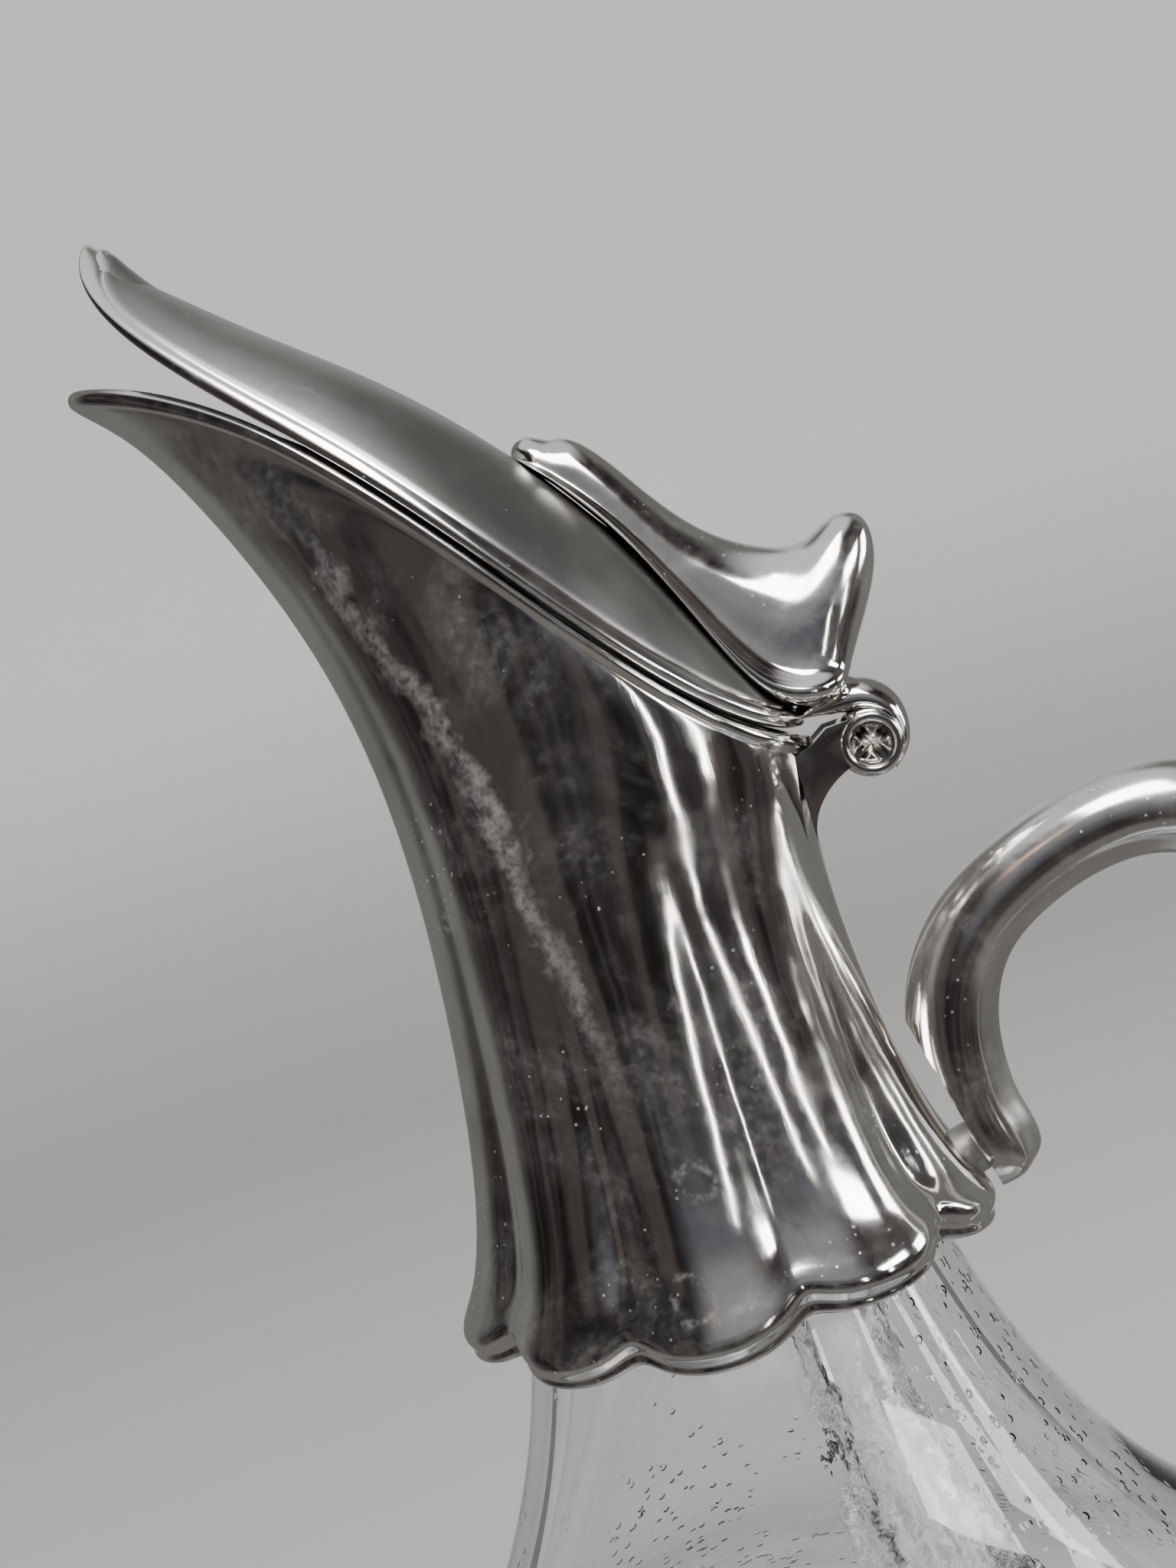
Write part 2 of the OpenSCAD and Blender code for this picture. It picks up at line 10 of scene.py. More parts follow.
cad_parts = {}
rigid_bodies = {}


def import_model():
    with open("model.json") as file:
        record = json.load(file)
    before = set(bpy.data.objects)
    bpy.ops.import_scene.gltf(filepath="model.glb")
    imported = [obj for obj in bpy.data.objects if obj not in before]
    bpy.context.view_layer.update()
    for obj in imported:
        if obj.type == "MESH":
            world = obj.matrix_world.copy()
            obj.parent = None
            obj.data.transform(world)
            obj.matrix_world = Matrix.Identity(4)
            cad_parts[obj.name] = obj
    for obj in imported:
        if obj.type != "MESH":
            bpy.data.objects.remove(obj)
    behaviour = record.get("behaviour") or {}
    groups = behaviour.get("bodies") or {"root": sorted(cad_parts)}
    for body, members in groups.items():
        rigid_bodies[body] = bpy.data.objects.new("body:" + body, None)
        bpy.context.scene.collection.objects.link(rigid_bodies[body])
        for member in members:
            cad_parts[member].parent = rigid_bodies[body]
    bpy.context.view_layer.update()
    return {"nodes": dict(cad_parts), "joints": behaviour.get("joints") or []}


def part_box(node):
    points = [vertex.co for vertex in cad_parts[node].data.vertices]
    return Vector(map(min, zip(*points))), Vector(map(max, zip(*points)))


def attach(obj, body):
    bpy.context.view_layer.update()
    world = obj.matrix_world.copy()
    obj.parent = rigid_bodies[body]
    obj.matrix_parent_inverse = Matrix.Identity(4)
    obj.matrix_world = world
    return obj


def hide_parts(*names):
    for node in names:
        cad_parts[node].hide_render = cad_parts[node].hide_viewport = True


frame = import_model()

bl_info = {
    "name": "Claret Jug",
    "version": (1, 0, 0),
    "blender": (4, 5, 0),
    "location": "3D View > Sidebar > Claret Jug",
    "description": "Builds a glass claret jug with a fluted metal mount around its CAD frame",
    "category": "Object",
}

MM = 0.001
GLASS_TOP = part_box("glass_body")[1].z / MM
GLASS_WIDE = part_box("glass_body")[1].x / MM
HINGE = Vector(frame["joints"][0]["pos_m"]) / MM

# ---------- measures that the pieces share, in millimetres ----------

# The glass below the mount, and the neck inside it
BODY_H = 113
NECK_R = 19.5
WAIST_R = 22.8
FOOT_R = 74
FOOT_HOLLOW = 1.6

# The mount: how far the lobes stand out below, the rim's places and heights, and its half width
FLARE = 9.6
LOBES = 10
CUSP_RISE, CUSP_SHARP = 2.8, 1.5
# How full the lobes and the lid's arch are: the power of their curve
FULLNESS = 0.75
RIM_BACK_H, RIM_BACK = 56, 24.2
SPOUT_H, SPOUT_REACH = 115.6, 45.2
RIM_W, RIM_TAPER = 20, 0.4
RIM_TOP = 1.1
# How the spout's rim swings about a straight line from the back to the front
RIM_WAVE = 2.9, 1.55, 0.7
# The bead round the rim, from below it to its top: inset and height above the rim's ring
RIM_LINE = [(0.02, -1.5), (-0.12, -1.1), (-0.62, -0.7), (-0.72, 0.1), (-0.4, 0.85)]
# The lower lip, from its inside round its bead to the lobes' rounded ends: inset, drop, cusp's share
LIP_LINE = [(2.5, 1.9, 0.7), (2.3, 2.95, 0.7), (1.1, 3.2, 0.7), (0.75, 2.6, 0.75), (1.05, 2.15, 0.9),
            (0.35, 1.35, 1)]

# The lid above the rim, and the tip that curls up and back: how far, from where, and the powers of its
# curve, of which the last two are for the tip's sides and its middle
LID_OVER, LID_SEAT, BAND_H = 0.5, 1.55, 1.6
BEAK_LIFT, BEAK_BACK = 14, 7.5
CURL_START, CURL_SHARP, CURL_SIDE, CURL_MIDDLE = 0.62, 2.1, 6, 4.3
CROWN_X, LID_STEPS = 8, 40
# Rings of the lid as shares of the way out from the crown: above, in the groove beside the band with
# the groove's depth, and below
LID_OUT = (0.1, 0.25, 0.4, 0.55, 0.7, 0.81, 0.89, 0.935)
LID_GROOVE = ((0.962, 0.05), (0.975, 0.45), (0.987, 0.05))
LID_BACK = (0.95, 0.85, 0.7, 0.5, 0.3, 0.1)

# Outer line of the glass: shares of the way out from the neck, and shares of the body's height
BELLY_LINE = [(0.74, 0), (0.85, 0.004), (0.955, 0.034), (1.0, 0.107), (0.985, 0.195), (0.93, 0.283),
              (0.82, 0.374), (0.675, 0.462), (0.505, 0.553), (0.34, 0.64), (0.232, 0.73), (0.155, 0.822),
              (0.1, 0.91), (0.066, 0.994), (0.03, 1.062), (0.006, 1.12), (0, 1.18)]

# Rings of the mount from its lower edge to the rim: shares of the back rim's height, of the
# spout's height, of the flare, of the spout's reach, and of the groove at the back and the front
MOUNT_ROWS = [(0.053, 0.026, 1.00, 0.00, 1.00, 1.00), (0.114, 0.056, 0.73, 0.00, 0.90, 0.90),
              (0.207, 0.102, 0.51, 0.00, 0.70, 0.70), (0.326, 0.167, 0.32, 0.00, 0.53, 0.53),
              (0.458, 0.251, 0.18, 0.00, 0.39, 0.40), (0.595, 0.350, 0.075, 0.00, 0.26, 0.30),
              (0.716, 0.458, 0.02, 0.00, 0.14, 0.23), (0.811, 0.569, 0.00, 0.04, 0.06, 0.18),
              (0.879, 0.676, 0.00, 0.14, 0.02, 0.13), (0.928, 0.774, 0.00, 0.31, 0.00, 0.09),
              (0.964, 0.867, 0.00, 0.53, 0.00, 0.06), (0.987, 0.945, 0.00, 0.76, 0.00, 0.03),
              (1.000, 1.000, 0.00, 1.00, 0.00, 0.00)]
RIM_ROW = MOUNT_ROWS[-1]
LOBE_STEPS = (0, 0.14, 0.37, 0.63, 0.86)
# Turns of the grooves: even steps, and where the maker's chaser put them
GROOVE_TURNS = [(0, 0), (36, 36), (72, 73.2), (108, 110.4), (144, 144.5), (180, 180), (216, 215.5),
                (252, 249.6), (288, 286.8), (324, 324), (360, 360)]
# How far the lower edge hangs down along the way from the back to the front, as shares of DROOP
DROOP, DROOP_LINE = 2.2, [(0, 0), (0.22, 0.1), (0.5, 1), (0.79, 0.75), (1, 0)]

# Height of the lid's ridge along its length, from the hinge to the tip
RIDGE_LINE = [(0, 0), (0.045, 0.22), (0.088, 0.42), (0.124, 0.61), (0.164, 0.79), (0.209, 0.92),
              (0.257, 0.98), (0.302, 1), (0.345, 1), (0.404, 0.965), (0.492, 0.87), (0.606, 0.735),
              (0.732, 0.59), (0.814, 0.445), (0.9, 0.22), (0.96, 0.09), (1, 0)]

# Slices of the thumb-piece: foot and top measured from the hinge axis, and share of the half width
THUMB_FOOT = [(-29.8, 41.4), (-29, 40.7), (-27.4, 39.2), (-25.8, 37.5), (-24.2, 35.6), (-21.6, 32.2),
              (-18.6, 27.2), (-15.2, 20.4), (-12.2, 14.2), (-9.6, 10), (-6.6, 7.9), (-3.6, 7.5),
              (-1.2, 7.6), (0, 8.2), (0.3, 8.8)]
THUMB_TOP = [(-29.9, 42), (-29.5, 43), (-27.6, 43.7), (-25.4, 42), (-23.4, 42.4), (-20, 39),
             (-15.6, 32.2), (-11, 27), (-5.6, 24), (-1.6, 23), (1, 24.5), (3.5, 25.8), (6.7, 24.7),
             (6.5, 19.4), (3.9, 14.4)]
THUMB_WIDE = [0.14, 0.32, 0.45, 0.46, 0.5, 0.58, 0.7, 0.83, 0.95, 1.02, 1.04, 1, 0.84, 0.52, 0.2]
SLICE_LINE = [(-1.4, -0.1), (-1.38, 0.02), (-1.14, 0.06), (-1.04, 0.18), (-0.98, 0.38), (-0.86, 0.6),
              (-0.64, 0.79), (-0.39, 0.93), (-0.14, 1), (0.14, 1), (0.39, 0.93), (0.64, 0.79),
              (0.86, 0.6), (0.98, 0.38), (1.04, 0.18), (1.14, 0.06), (1.38, 0.02), (1.4, -0.1),
              (0.5, -0.12), (-0.5, -0.12)]

# The hinge: barrel, ears and screw, and the scroll's outer and inner line as turns and distances
BARREL_R, PIN_R, SCROLL_W = 4.2, 1.3, 9
SCROLL_LINE = [(150, 9.5, 9.1), (146, 9.2, 7.9), (138, 8.8, 6.4), (127, 8.5, 4.9), (113, 8.2, 4.1),
               (96, 7.8, 3.7), (76, 7.2, 3.5), (52, 6.5, 3.4), (28, 5.6, 3.3), (4, 4.95, 3.3),
               (-20, 4.65, 3.4), (-42, 4.4, 3.6), (-60, 4.25, 3.9)]
SCROLL_SECTION = [(1.08, -0.22), (0.92, -0.56), (0.5, -0.86), (-0.1, -1.03), (-0.8, -1.03),
                  (-1.05, -0.7), (-1.05, 0.7), (-0.8, 1.03), (-0.1, 1.03), (0.5, 0.86), (0.92, 0.56),
                  (1.08, 0.22)]
EAR_RING, EAR_RING_D = 2.98, 1.15
SCREW_TURN, SCREW_SLOT, SCREW_DEEP, SCREW_STEPS = 30, 1.15, 1.3, 48
# The screw's head: shares of its radius, heights above its face, and how worn and slotted it is
SCREW_HEAD = ((0.9, 1.5, 0), (0.95, 1.3, 0), (0.93, 0.7, 0.6), (0.9, 0.3, 0.9), (0.8, 0.05, 1),
              (0.66, 0, 1), (0.52, 0, 1), (0.38, 0, 1), (0.24, 0, 1), (0.1, 0, 1))

# Middle line of the handle: shares of its reach from the root, and heights above the glass body
HANDLE_LINE = [(0.06, 2.2), (0.054, 3), (0.038, 5), (0.02, 8), (0.004, 11), (0, 17), (0.018, 22.5),
               (0.06, 27.4), (0.125, 31.3), (0.217, 34.2), (0.318, 36.5), (0.431, 38), (0.547, 38.1),
               (0.69, 35.2), (0.83, 28.2), (0.93, 17.8), (0.985, 5), (1, -7), (0.975, -19), (0.925, -31),
               (0.865, -41), (0.84, -48), (0.875, -53), (0.95, -55)]
HANDLE_SIZE = [0.42, 0.8, 0.97, 1, 1, 1, 1, 0.98, 0.94, 0.91, 0.91, 0.94, 1, 1.02, 1.02, 1, 1, 1, 0.98,
               0.93, 0.85, 0.74, 0.6, 0.42]
HANDLE_SECTION = [(0.98, 0), (0.72, 0.36), (0.5, 0.72), (0.3, 1), (-0.12, 1.06), (-0.62, 0.86),
                  (-0.96, 0.46), (-1.06, 0), (-0.96, -0.46), (-0.62, -0.86), (-0.12, -1.06), (0.3, -1),
                  (0.5, -0.72), (0.72, -0.36)]
HANDLE_REACH = 84
ROOT_LOW, ROOT_HIGH = 3, 23
ROOT_GAP, ROOT_LEAN, ROOT_FILED = 0.9, 1.6, 0.8

# Colour of the window lights
DAYLIGHT = (1, 0.99, 0.97)


# ---------- sizes and colours that a user would change ----------

def length(name, description, default, low, high):
    """Length that a user may change between two limits."""
    return FloatProperty(name=name, description=description, default=default, min=low, max=high)


def paint(name, description, default):
    """Colour that a user may change."""
    return FloatVectorProperty(name=name, description=description, default=default, subtype="COLOR",
                               size=3, min=0, max=1)


class JugSizes(bpy.types.PropertyGroup):
    """Sizes of the jug's pieces, in millimetres"""
    glass_wall: length("Glass wall", "Wall of the glass at its widest", 6, 3, 8)
    neck_wall: length("Neck wall", "Wall of the glass in the neck", 4.6, 3, 6)
    glass_floor: length("Glass floor", "Thickness of the glass floor", 11, 6, 16)
    mount_wall: length("Mount wall", "Wall of the spout mount", 1.6, 1, 2.4)
    groove: length("Groove", "Depth of the grooves between the lobes", 3.2, 1, 5)
    lid_wall: length("Lid wall", "Wall of the lid", 1.5, 1, 2.4)
    lid_rise: length("Lid ridge", "Height of the lid's ridge", 15.6, 12, 20)
    horn_w: length("Thumb-piece", "Half width of the thumb-piece", 7.6, 5, 9)
    handle_d: length("Handle", "Thickness of the handle", 11.3, 9, 13)
    smooth: IntProperty(name="Smoothness", description="Subdivision of the curved pieces",
                        default=2, min=1, max=3)


class JugColours(bpy.types.PropertyGroup):
    """Colours of the jug's finishes"""
    plate: paint("Polished plate", "Colour of the polished silver plate", (0.90, 0.88, 0.85))
    satin: paint("Satin plate", "Colour of the satin lid", (0.35, 0.345, 0.33))
    screw: paint("Worn screw", "Colour of the worn screw", (0.86, 0.83, 0.77))
    glass: paint("Glass", "Colour of the glass", (0.98, 0.98, 1.0))
    stage: paint("Stage", "Colour of the pale floor and backdrop", (0.60, 0.60, 0.585))


# ---------- making by hand ----------

def clear():
    """Leaves nothing selected."""
    if bpy.context.object and bpy.context.object.mode != "OBJECT":
        bpy.ops.object.mode_set(mode="OBJECT")
    bpy.ops.object.select_all(action="DESELECT")


def take(piece):
    """Makes the piece the one that is worked on."""
    clear()
    piece.select_set(True)
    bpy.context.view_layer.objects.active = piece


def opened(piece):
    """Opens the piece for editing, with all of it selected."""
    take(piece)
    bpy.ops.object.mode_set(mode="EDIT")
    bpy.ops.mesh.select_all(action="SELECT")


def shut():
    """Ends the editing of a piece."""
    bpy.ops.object.mode_set(mode="OBJECT")


def rounded(degrees):
    """Shades the piece smooth but for its sharper edges."""
    bpy.ops.object.shade_smooth_by_angle(angle=radians(degrees))


def lookup(x, pairs):
    """Value at x on the straight lines between the pairs."""
    if x <= pairs[0][0]:
        return pairs[0][1]
    for (a, u), (b, v) in zip(pairs, pairs[1:]):
        if x <= b:
            return u + (v - u) * (x - a) / (b - a)
    return pairs[-1][1]


def weights(t):
    """Weights of four neighbouring control points on a cubic spline."""
    return ((1 - t) ** 3 / 6, (3 * t ** 3 - 6 * t * t + 4) / 6,
            (-3 * t ** 3 + 3 * t * t + 3 * t + 1) / 6, t ** 3 / 6)


def smooth_run(points, steps):
    """Smooth line along control points, from the first to the last."""
    p = [Vector(q) for q in points]
    p = [2 * p[0] - p[1]] + p + [2 * p[-1] - p[-2]]
    run = [sum((w * q for w, q in zip(weights(k / steps), p[i:i + 4])), Vector((0,) * len(p[0])))
           for i in range(len(points) - 1) for k in range(steps)]
    return run + [Vector(points[-1])]


def spun(name, points, steps, near):
    """New piece from a line of (radius, height) points, in millimetres: the line is drawn point by
    point and turned round the jug's axis, and points nearer than near (in metres) are merged."""
    line = [(r, 0, z) for r, z in points]
    clear()
    bpy.ops.mesh.primitive_plane_add(size=0.001, location=Vector(line[0]) * MM)
    piece = bpy.context.object
    piece.name = piece.data.name = name
    bpy.ops.object.transform_apply(location=True, rotation=True, scale=True)
    opened(piece)
    bpy.ops.mesh.merge(type="CENTER")
    for a, b in zip(line, line[1:]):
        bpy.ops.mesh.extrude_region_move(TRANSFORM_OT_translate={"value": (Vector(b) - Vector(a)) * MM})
    bpy.ops.mesh.select_all(action="SELECT")
    bpy.ops.mesh.spin(steps=steps, angle=tau, center=(0, 0, 0), axis=(0, 0, 1))
    bpy.ops.mesh.select_all(action="SELECT")
    bpy.ops.mesh.remove_doubles(threshold=near)
    shut()
    return piece


def caged(name, rings, closed, marks=None):
    """New piece from a circle that is extruded once for each ring, with each ring's points put in
    place. The rings close on themselves, or the first and last are capped. marks gives named values
    for each ring and column, which the finishes read."""
    clear()
    n, lift = len(rings[0]), 0.002
    bpy.ops.mesh.primitive_circle_add(vertices=n, radius=0.02, fill_type="NOTHING", location=(0, 0, 0))
    piece = bpy.context.object
    piece.name = piece.data.name = name
    opened(piece)
    for _ in rings if closed else rings[1:]:
        bpy.ops.mesh.extrude_region_move(TRANSFORM_OT_translate={"value": (0, 0, lift)})
    shut()
    first = atan2(piece.data.vertices[0].co.y, piece.data.vertices[0].co.x)
    places = []
    for v in piece.data.vertices:
        i = round(v.co.z / lift) % len(rings)
        j = round((atan2(v.co.y, v.co.x) - first) * n / tau) % n
        places.append((i, j))
    for v, (i, j) in zip(piece.data.vertices, places):
        v.co = Vector(rings[i][j]) * MM
    for mark, value in (marks or {}).items():
        layer = piece.data.attributes.new(mark, "FLOAT", "POINT")
        layer.data.foreach_set("value", [value(i, j) for i, j in places])
    opened(piece)
    if closed:
        bpy.ops.mesh.remove_doubles(threshold=0.000001)
    else:
        bpy.ops.mesh.select_all(action="DESELECT")
        bpy.ops.mesh.select_non_manifold()
        bpy.ops.transform.edge_crease(value=1)
        bpy.ops.mesh.edge_face_add()
    bpy.ops.mesh.select_all(action="SELECT")
    bpy.ops.mesh.normals_make_consistent(inside=False)
    shut()
    return piece


def smoothed(piece, levels):
    """Applies a subdivision surface and shades it smooth."""
    take(piece)
    bpy.ops.object.modifier_add(type="SUBSURF")
    piece.modifiers[-1].levels = piece.modifiers[-1].render_levels = levels
    bpy.ops.object.modifier_apply(modifier=piece.modifiers[-1].name)
    bpy.ops.object.shade_smooth()
    return piece


def twin(node, name, bevel, rounds=3, sharp=35):
    """Copy of a CAD node with its triangles merged, its edges softened and its rounds shaded smooth.
    Edges sharper than sharp degrees are the ones that are bevelled."""
    clear()
    piece = bpy.data.objects.new(name, frame["nodes"][node].data.copy())
    bpy.context.scene.collection.objects.link(piece)
    piece.data.materials.clear()
    opened(piece)
    bpy.ops.mesh.remove_doubles(threshold=0.000002)
    bpy.ops.mesh.customdata_custom_splitnormals_clear()
    bpy.ops.mesh.dissolve_limited(angle_limit=radians(0.5))
    shut()
    bpy.ops.object.modifier_add(type="BEVEL")
    edge = piece.modifiers[-1]
    edge.width, edge.segments, edge.limit_method = bevel * MM, rounds, "ANGLE"
    edge.angle_limit = radians(sharp)
    bpy.ops.object.modifier_apply(modifier=edge.name)
    rounded(sharp)
    return piece


def finished(piece, body, material, node):
    """Gives a piece its finish, its body, and the CAD node that it stands for."""
    piece.data.materials.clear()
    piece.data.materials.append(bpy.data.materials[material])
    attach(piece, body)
    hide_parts(node)


# ---------- finishes ----------

def feed(tree, node, feeds):
    """Gives each input its value, or links it to the output that its value comes from."""
    for key, value in feeds.items():
        if isinstance(value, bpy.types.NodeSocket):
            tree.links.new(value, node.inputs[key])
        elif node.inputs[key].type == "RGBA":
            node.inputs[key].default_value = (*value, 1)
        else:
            node.inputs[key].default_value = value


def put(tree, kind, feeds=None, **settings):
    """Adds a shader node with its settings and its feeds."""
    node = tree.nodes.new(kind)
    for key, value in settings.items():
        setattr(node, key, value)
    feed(tree, node, feeds or {})
    return node


def sums(tree, operation, a, b=0.0):
    """Output of a Math node."""
    return put(tree, "ShaderNodeMath", {0: a, 1: b}, operation=operation).outputs[0]


def plus(tree, total, *others):
    """Sum of the values."""
    for value in others:
        total = sums(tree, "ADD", total, value)
    return total


def times(tree, total, *others):
    """Product of the values."""
    for value in others:
        total = sums(tree, "MULTIPLY", total, value)
    return total


def gap(tree, value, middle):
    """How far a value is from the middle."""
    return sums(tree, "ABSOLUTE", sums(tree, "SUBTRACT", value, middle))


def ramp(tree, value, low, high, to_low=0.0, to_high=1.0):
    """Value moved smoothly from the range low to high onto to_low to to_high."""
    return put(tree, "ShaderNodeMapRange", {"Value": value, "From Min": low, "From Max": high,
                                            "To Min": to_low, "To Max": to_high},
               interpolation_type="SMOOTHSTEP").outputs["Result"]


def tint(tree, share, a, b):
    """Colour mixed from a to b."""
    return put(tree, "ShaderNodeMix", {"Factor": share, 6: a, 7: b}, data_type="RGBA").outputs[2]


def noise(tree, place, scale, detail, rough, twist=0.0):
    """Output of a noise texture."""
    return put(tree, "ShaderNodeTexNoise", {"Vector": place, "Scale": scale, "Detail": detail,
                                            "Roughness": rough, "Distortion": twist}).outputs[0]


def wander(tree, place, scale, detail, rough, reach):
    """Noise to both sides of zero."""
    return times(tree, sums(tree, "SUBTRACT", noise(tree, place, scale, detail, rough), 0.5), reach)


def cells(tree, place, scale, channel):
    """Distance from the middles of scattered cells, and one random value for each cell."""
    node = put(tree, "ShaderNodeTexVoronoi", {"Vector": place, "Scale": scale, "Randomness": 1.0})
    pick = put(tree, "ShaderNodeSeparateColor", {"Color": node.outputs["Color"]}).outputs[channel]
    return node.outputs["Distance"], pick


def split(tree, place):
    """The three parts of a place."""
    return put(tree, "ShaderNodeSeparateXYZ", {"Vector": place}).outputs[:3]


def turn_of(tree, x, y):
    """Turn round the upright axis from the camera's side."""
    return sums(tree, "ARCTAN2", x, times(tree, y, -1.0))


def drawn_long(tree, place, height, turn=(0, 0, 0)):
    """Places with their height shortened, so that what is made there is drawn out upwards."""
    return put(tree, "ShaderNodeMapping", {"Vector": place, "Rotation": turn,
                                           "Scale": (1, 1, height)}).outputs[0]


def bumped(tree, strength, distance, height):
    """Normal that a height bends, as deep as the distance in metres."""
    return put(tree, "ShaderNodeBump", {"Strength": strength, "Distance": distance,
                                        "Height": height}).outputs[0]


def group(name, outs, **ins):
    """New node group with a place and more named inputs, and named outputs."""
    tree = bpy.data.node_groups.new(name, "ShaderNodeTree")
    tree.interface.new_socket(name="Place", in_out="INPUT", socket_type="NodeSocketVector")
    for label, value in ins.items():
        socket = tree.interface.new_socket(name=label, in_out="INPUT", socket_type="NodeSocketFloat")
        socket.default_value = value
    for label in outs:
        tree.interface.new_socket(name=label, in_out="OUTPUT", socket_type="NodeSocketFloat")
    given, out = tree.nodes.new("NodeGroupInput").outputs, tree.nodes.new("NodeGroupOutput")
    return tree, given, given["Place"], out


def placed(tree, name, **feeds):
    """Places a node group and returns its outputs."""
    return put(tree, "ShaderNodeGroup", feeds, node_tree=bpy.data.node_groups[name]).outputs


def make_burnish():
    """Node group: hand-polished metal, with soft hollows, hazy patches and hair scratches."""
    tree, given, place, out = group("Burnish", ("Roughness", "Height"), Smooth=0.08, Haze=0.15, Patch=90.0)
    haze = ramp(tree, noise(tree, place, given["Patch"], 6, 0.62, 0.4), 0.42, 0.72)
    lines = drawn_long(tree, place, 0.06, (0.3, 0.5, 0.4))
    hairs = ramp(tree, noise(tree, lines, 2600, 2, 0.5), 0.55, 0.75)
    hollow = noise(tree, place, 85, 2, 0.4)
    rough = plus(tree, given["Smooth"], times(tree, given["Haze"], haze), times(tree, hairs, 0.03))
    feed(tree, out, {"Roughness": rough, "Height": plus(tree, hollow, times(tree, hairs, -0.004))})


def make_specks():
    """Node group: small scattered specks."""
    tree, given, place, out = group("Specks", ("Mask",), Scale=500.0, Size=0.18, Share=0.3)
    distance, pick = cells(tree, place, given["Scale"], 0)
    dot = ramp(tree, distance, given["Size"], times(tree, given["Size"], 0.45))
    feed(tree, out, {"Mask": times(tree, dot, sums(tree, "LESS_THAN", pick, given["Share"]))})


def make_dried_drops():
    """Node group: pale rings and clouds where water has dried."""
    tree, given, place, out = group("Dried Drops", ("Mask",), Scale=60.0, Share=0.4)
    shift = put(tree, "ShaderNodeTexNoise", {"Vector": place, "Scale": 240.0, "Detail": 3.0})
    moved = put(tree, "ShaderNodeVectorMath", {0: shift.outputs["Color"], 1: (0.004, 0.004, 0.004)},
                operation="MULTIPLY").outputs[0]
    uneven = put(tree, "ShaderNodeVectorMath", {0: place, 1: moved}, operation="ADD").outputs[0]
    distance, pick = cells(tree, uneven, given["Scale"], 1)
    ring = ramp(tree, gap(tree, distance, 0.2), 0.05, 0.0)
    chosen = sums(tree, "LESS_THAN", pick, given["Share"])
    broken = ramp(tree, noise(tree, place, 520, 4, 0.7), 0.42, 0.62)
    feed(tree, out, {"Mask": times(tree, ring, chosen, broken)})


def make_film():
    """Node group: thin cloudy film of dried water, with finer clouds in it."""
    tree, _, place, out = group("Film", ("Mask",))
    wide = ramp(tree, noise(tree, place, 55, 6, 0.66, 0.5), 0.44, 0.7)
    fine = ramp(tree, noise(tree, place, 900, 3, 0.7), 0.35, 0.75)
    feed(tree, out, {"Mask": times(tree, wide, plus(tree, 0.45, fine))})


def make_dried_trail():
    """Node group: the pale trail that water left along a groove at the front of the mount. The
    trail's middle is a line in x and z, in metres, which bends more from a height upwards."""
    tree, _, place, out = group("Dried Trail", ("Mask",))
    x, y, z = split(tree, place)
    bend = times(tree, sums(tree, "MAXIMUM", sums(tree, "SUBTRACT", z, 0.175), 0.0), -0.21)
    middle = plus(tree, times(tree, sums(tree, "SUBTRACT", z, 0.1527), -0.17), bend)
    away = sums(tree, "SUBTRACT", plus(tree, x, 0.0069), middle)
    away = sums(tree, "ABSOLUTE", plus(tree, away, wander(tree, place, 150, 5, 0.65, 0.008)))
    line = times(tree, ramp(tree, away, 0.0022, 0.0001), ramp(tree, y, -0.008, -0.011))
    ends = times(tree, ramp(tree, z, 0.128, 0.16), ramp(tree, z, 0.212, 0.2))
    broken = ramp(tree, noise(tree, place, 900, 6, 0.8), 0.25, 0.8)
    feed(tree, out, {"Mask": times(tree, line, ends, broken)})


def new_material(name):
    """New material: its tree, its plain Principled shader, and the piece's own places."""
    material = bpy.data.materials.new(name)
    material.use_nodes = True
    tree = material.node_tree
    tree.nodes.clear()
    shader = put(tree, "ShaderNodeBsdfPrincipled")
    put(tree, "ShaderNodeOutputMaterial", {"Surface": shader.outputs[0]})
    return tree, shader, put(tree, "ShaderNodeTexCoord").outputs["Object"]


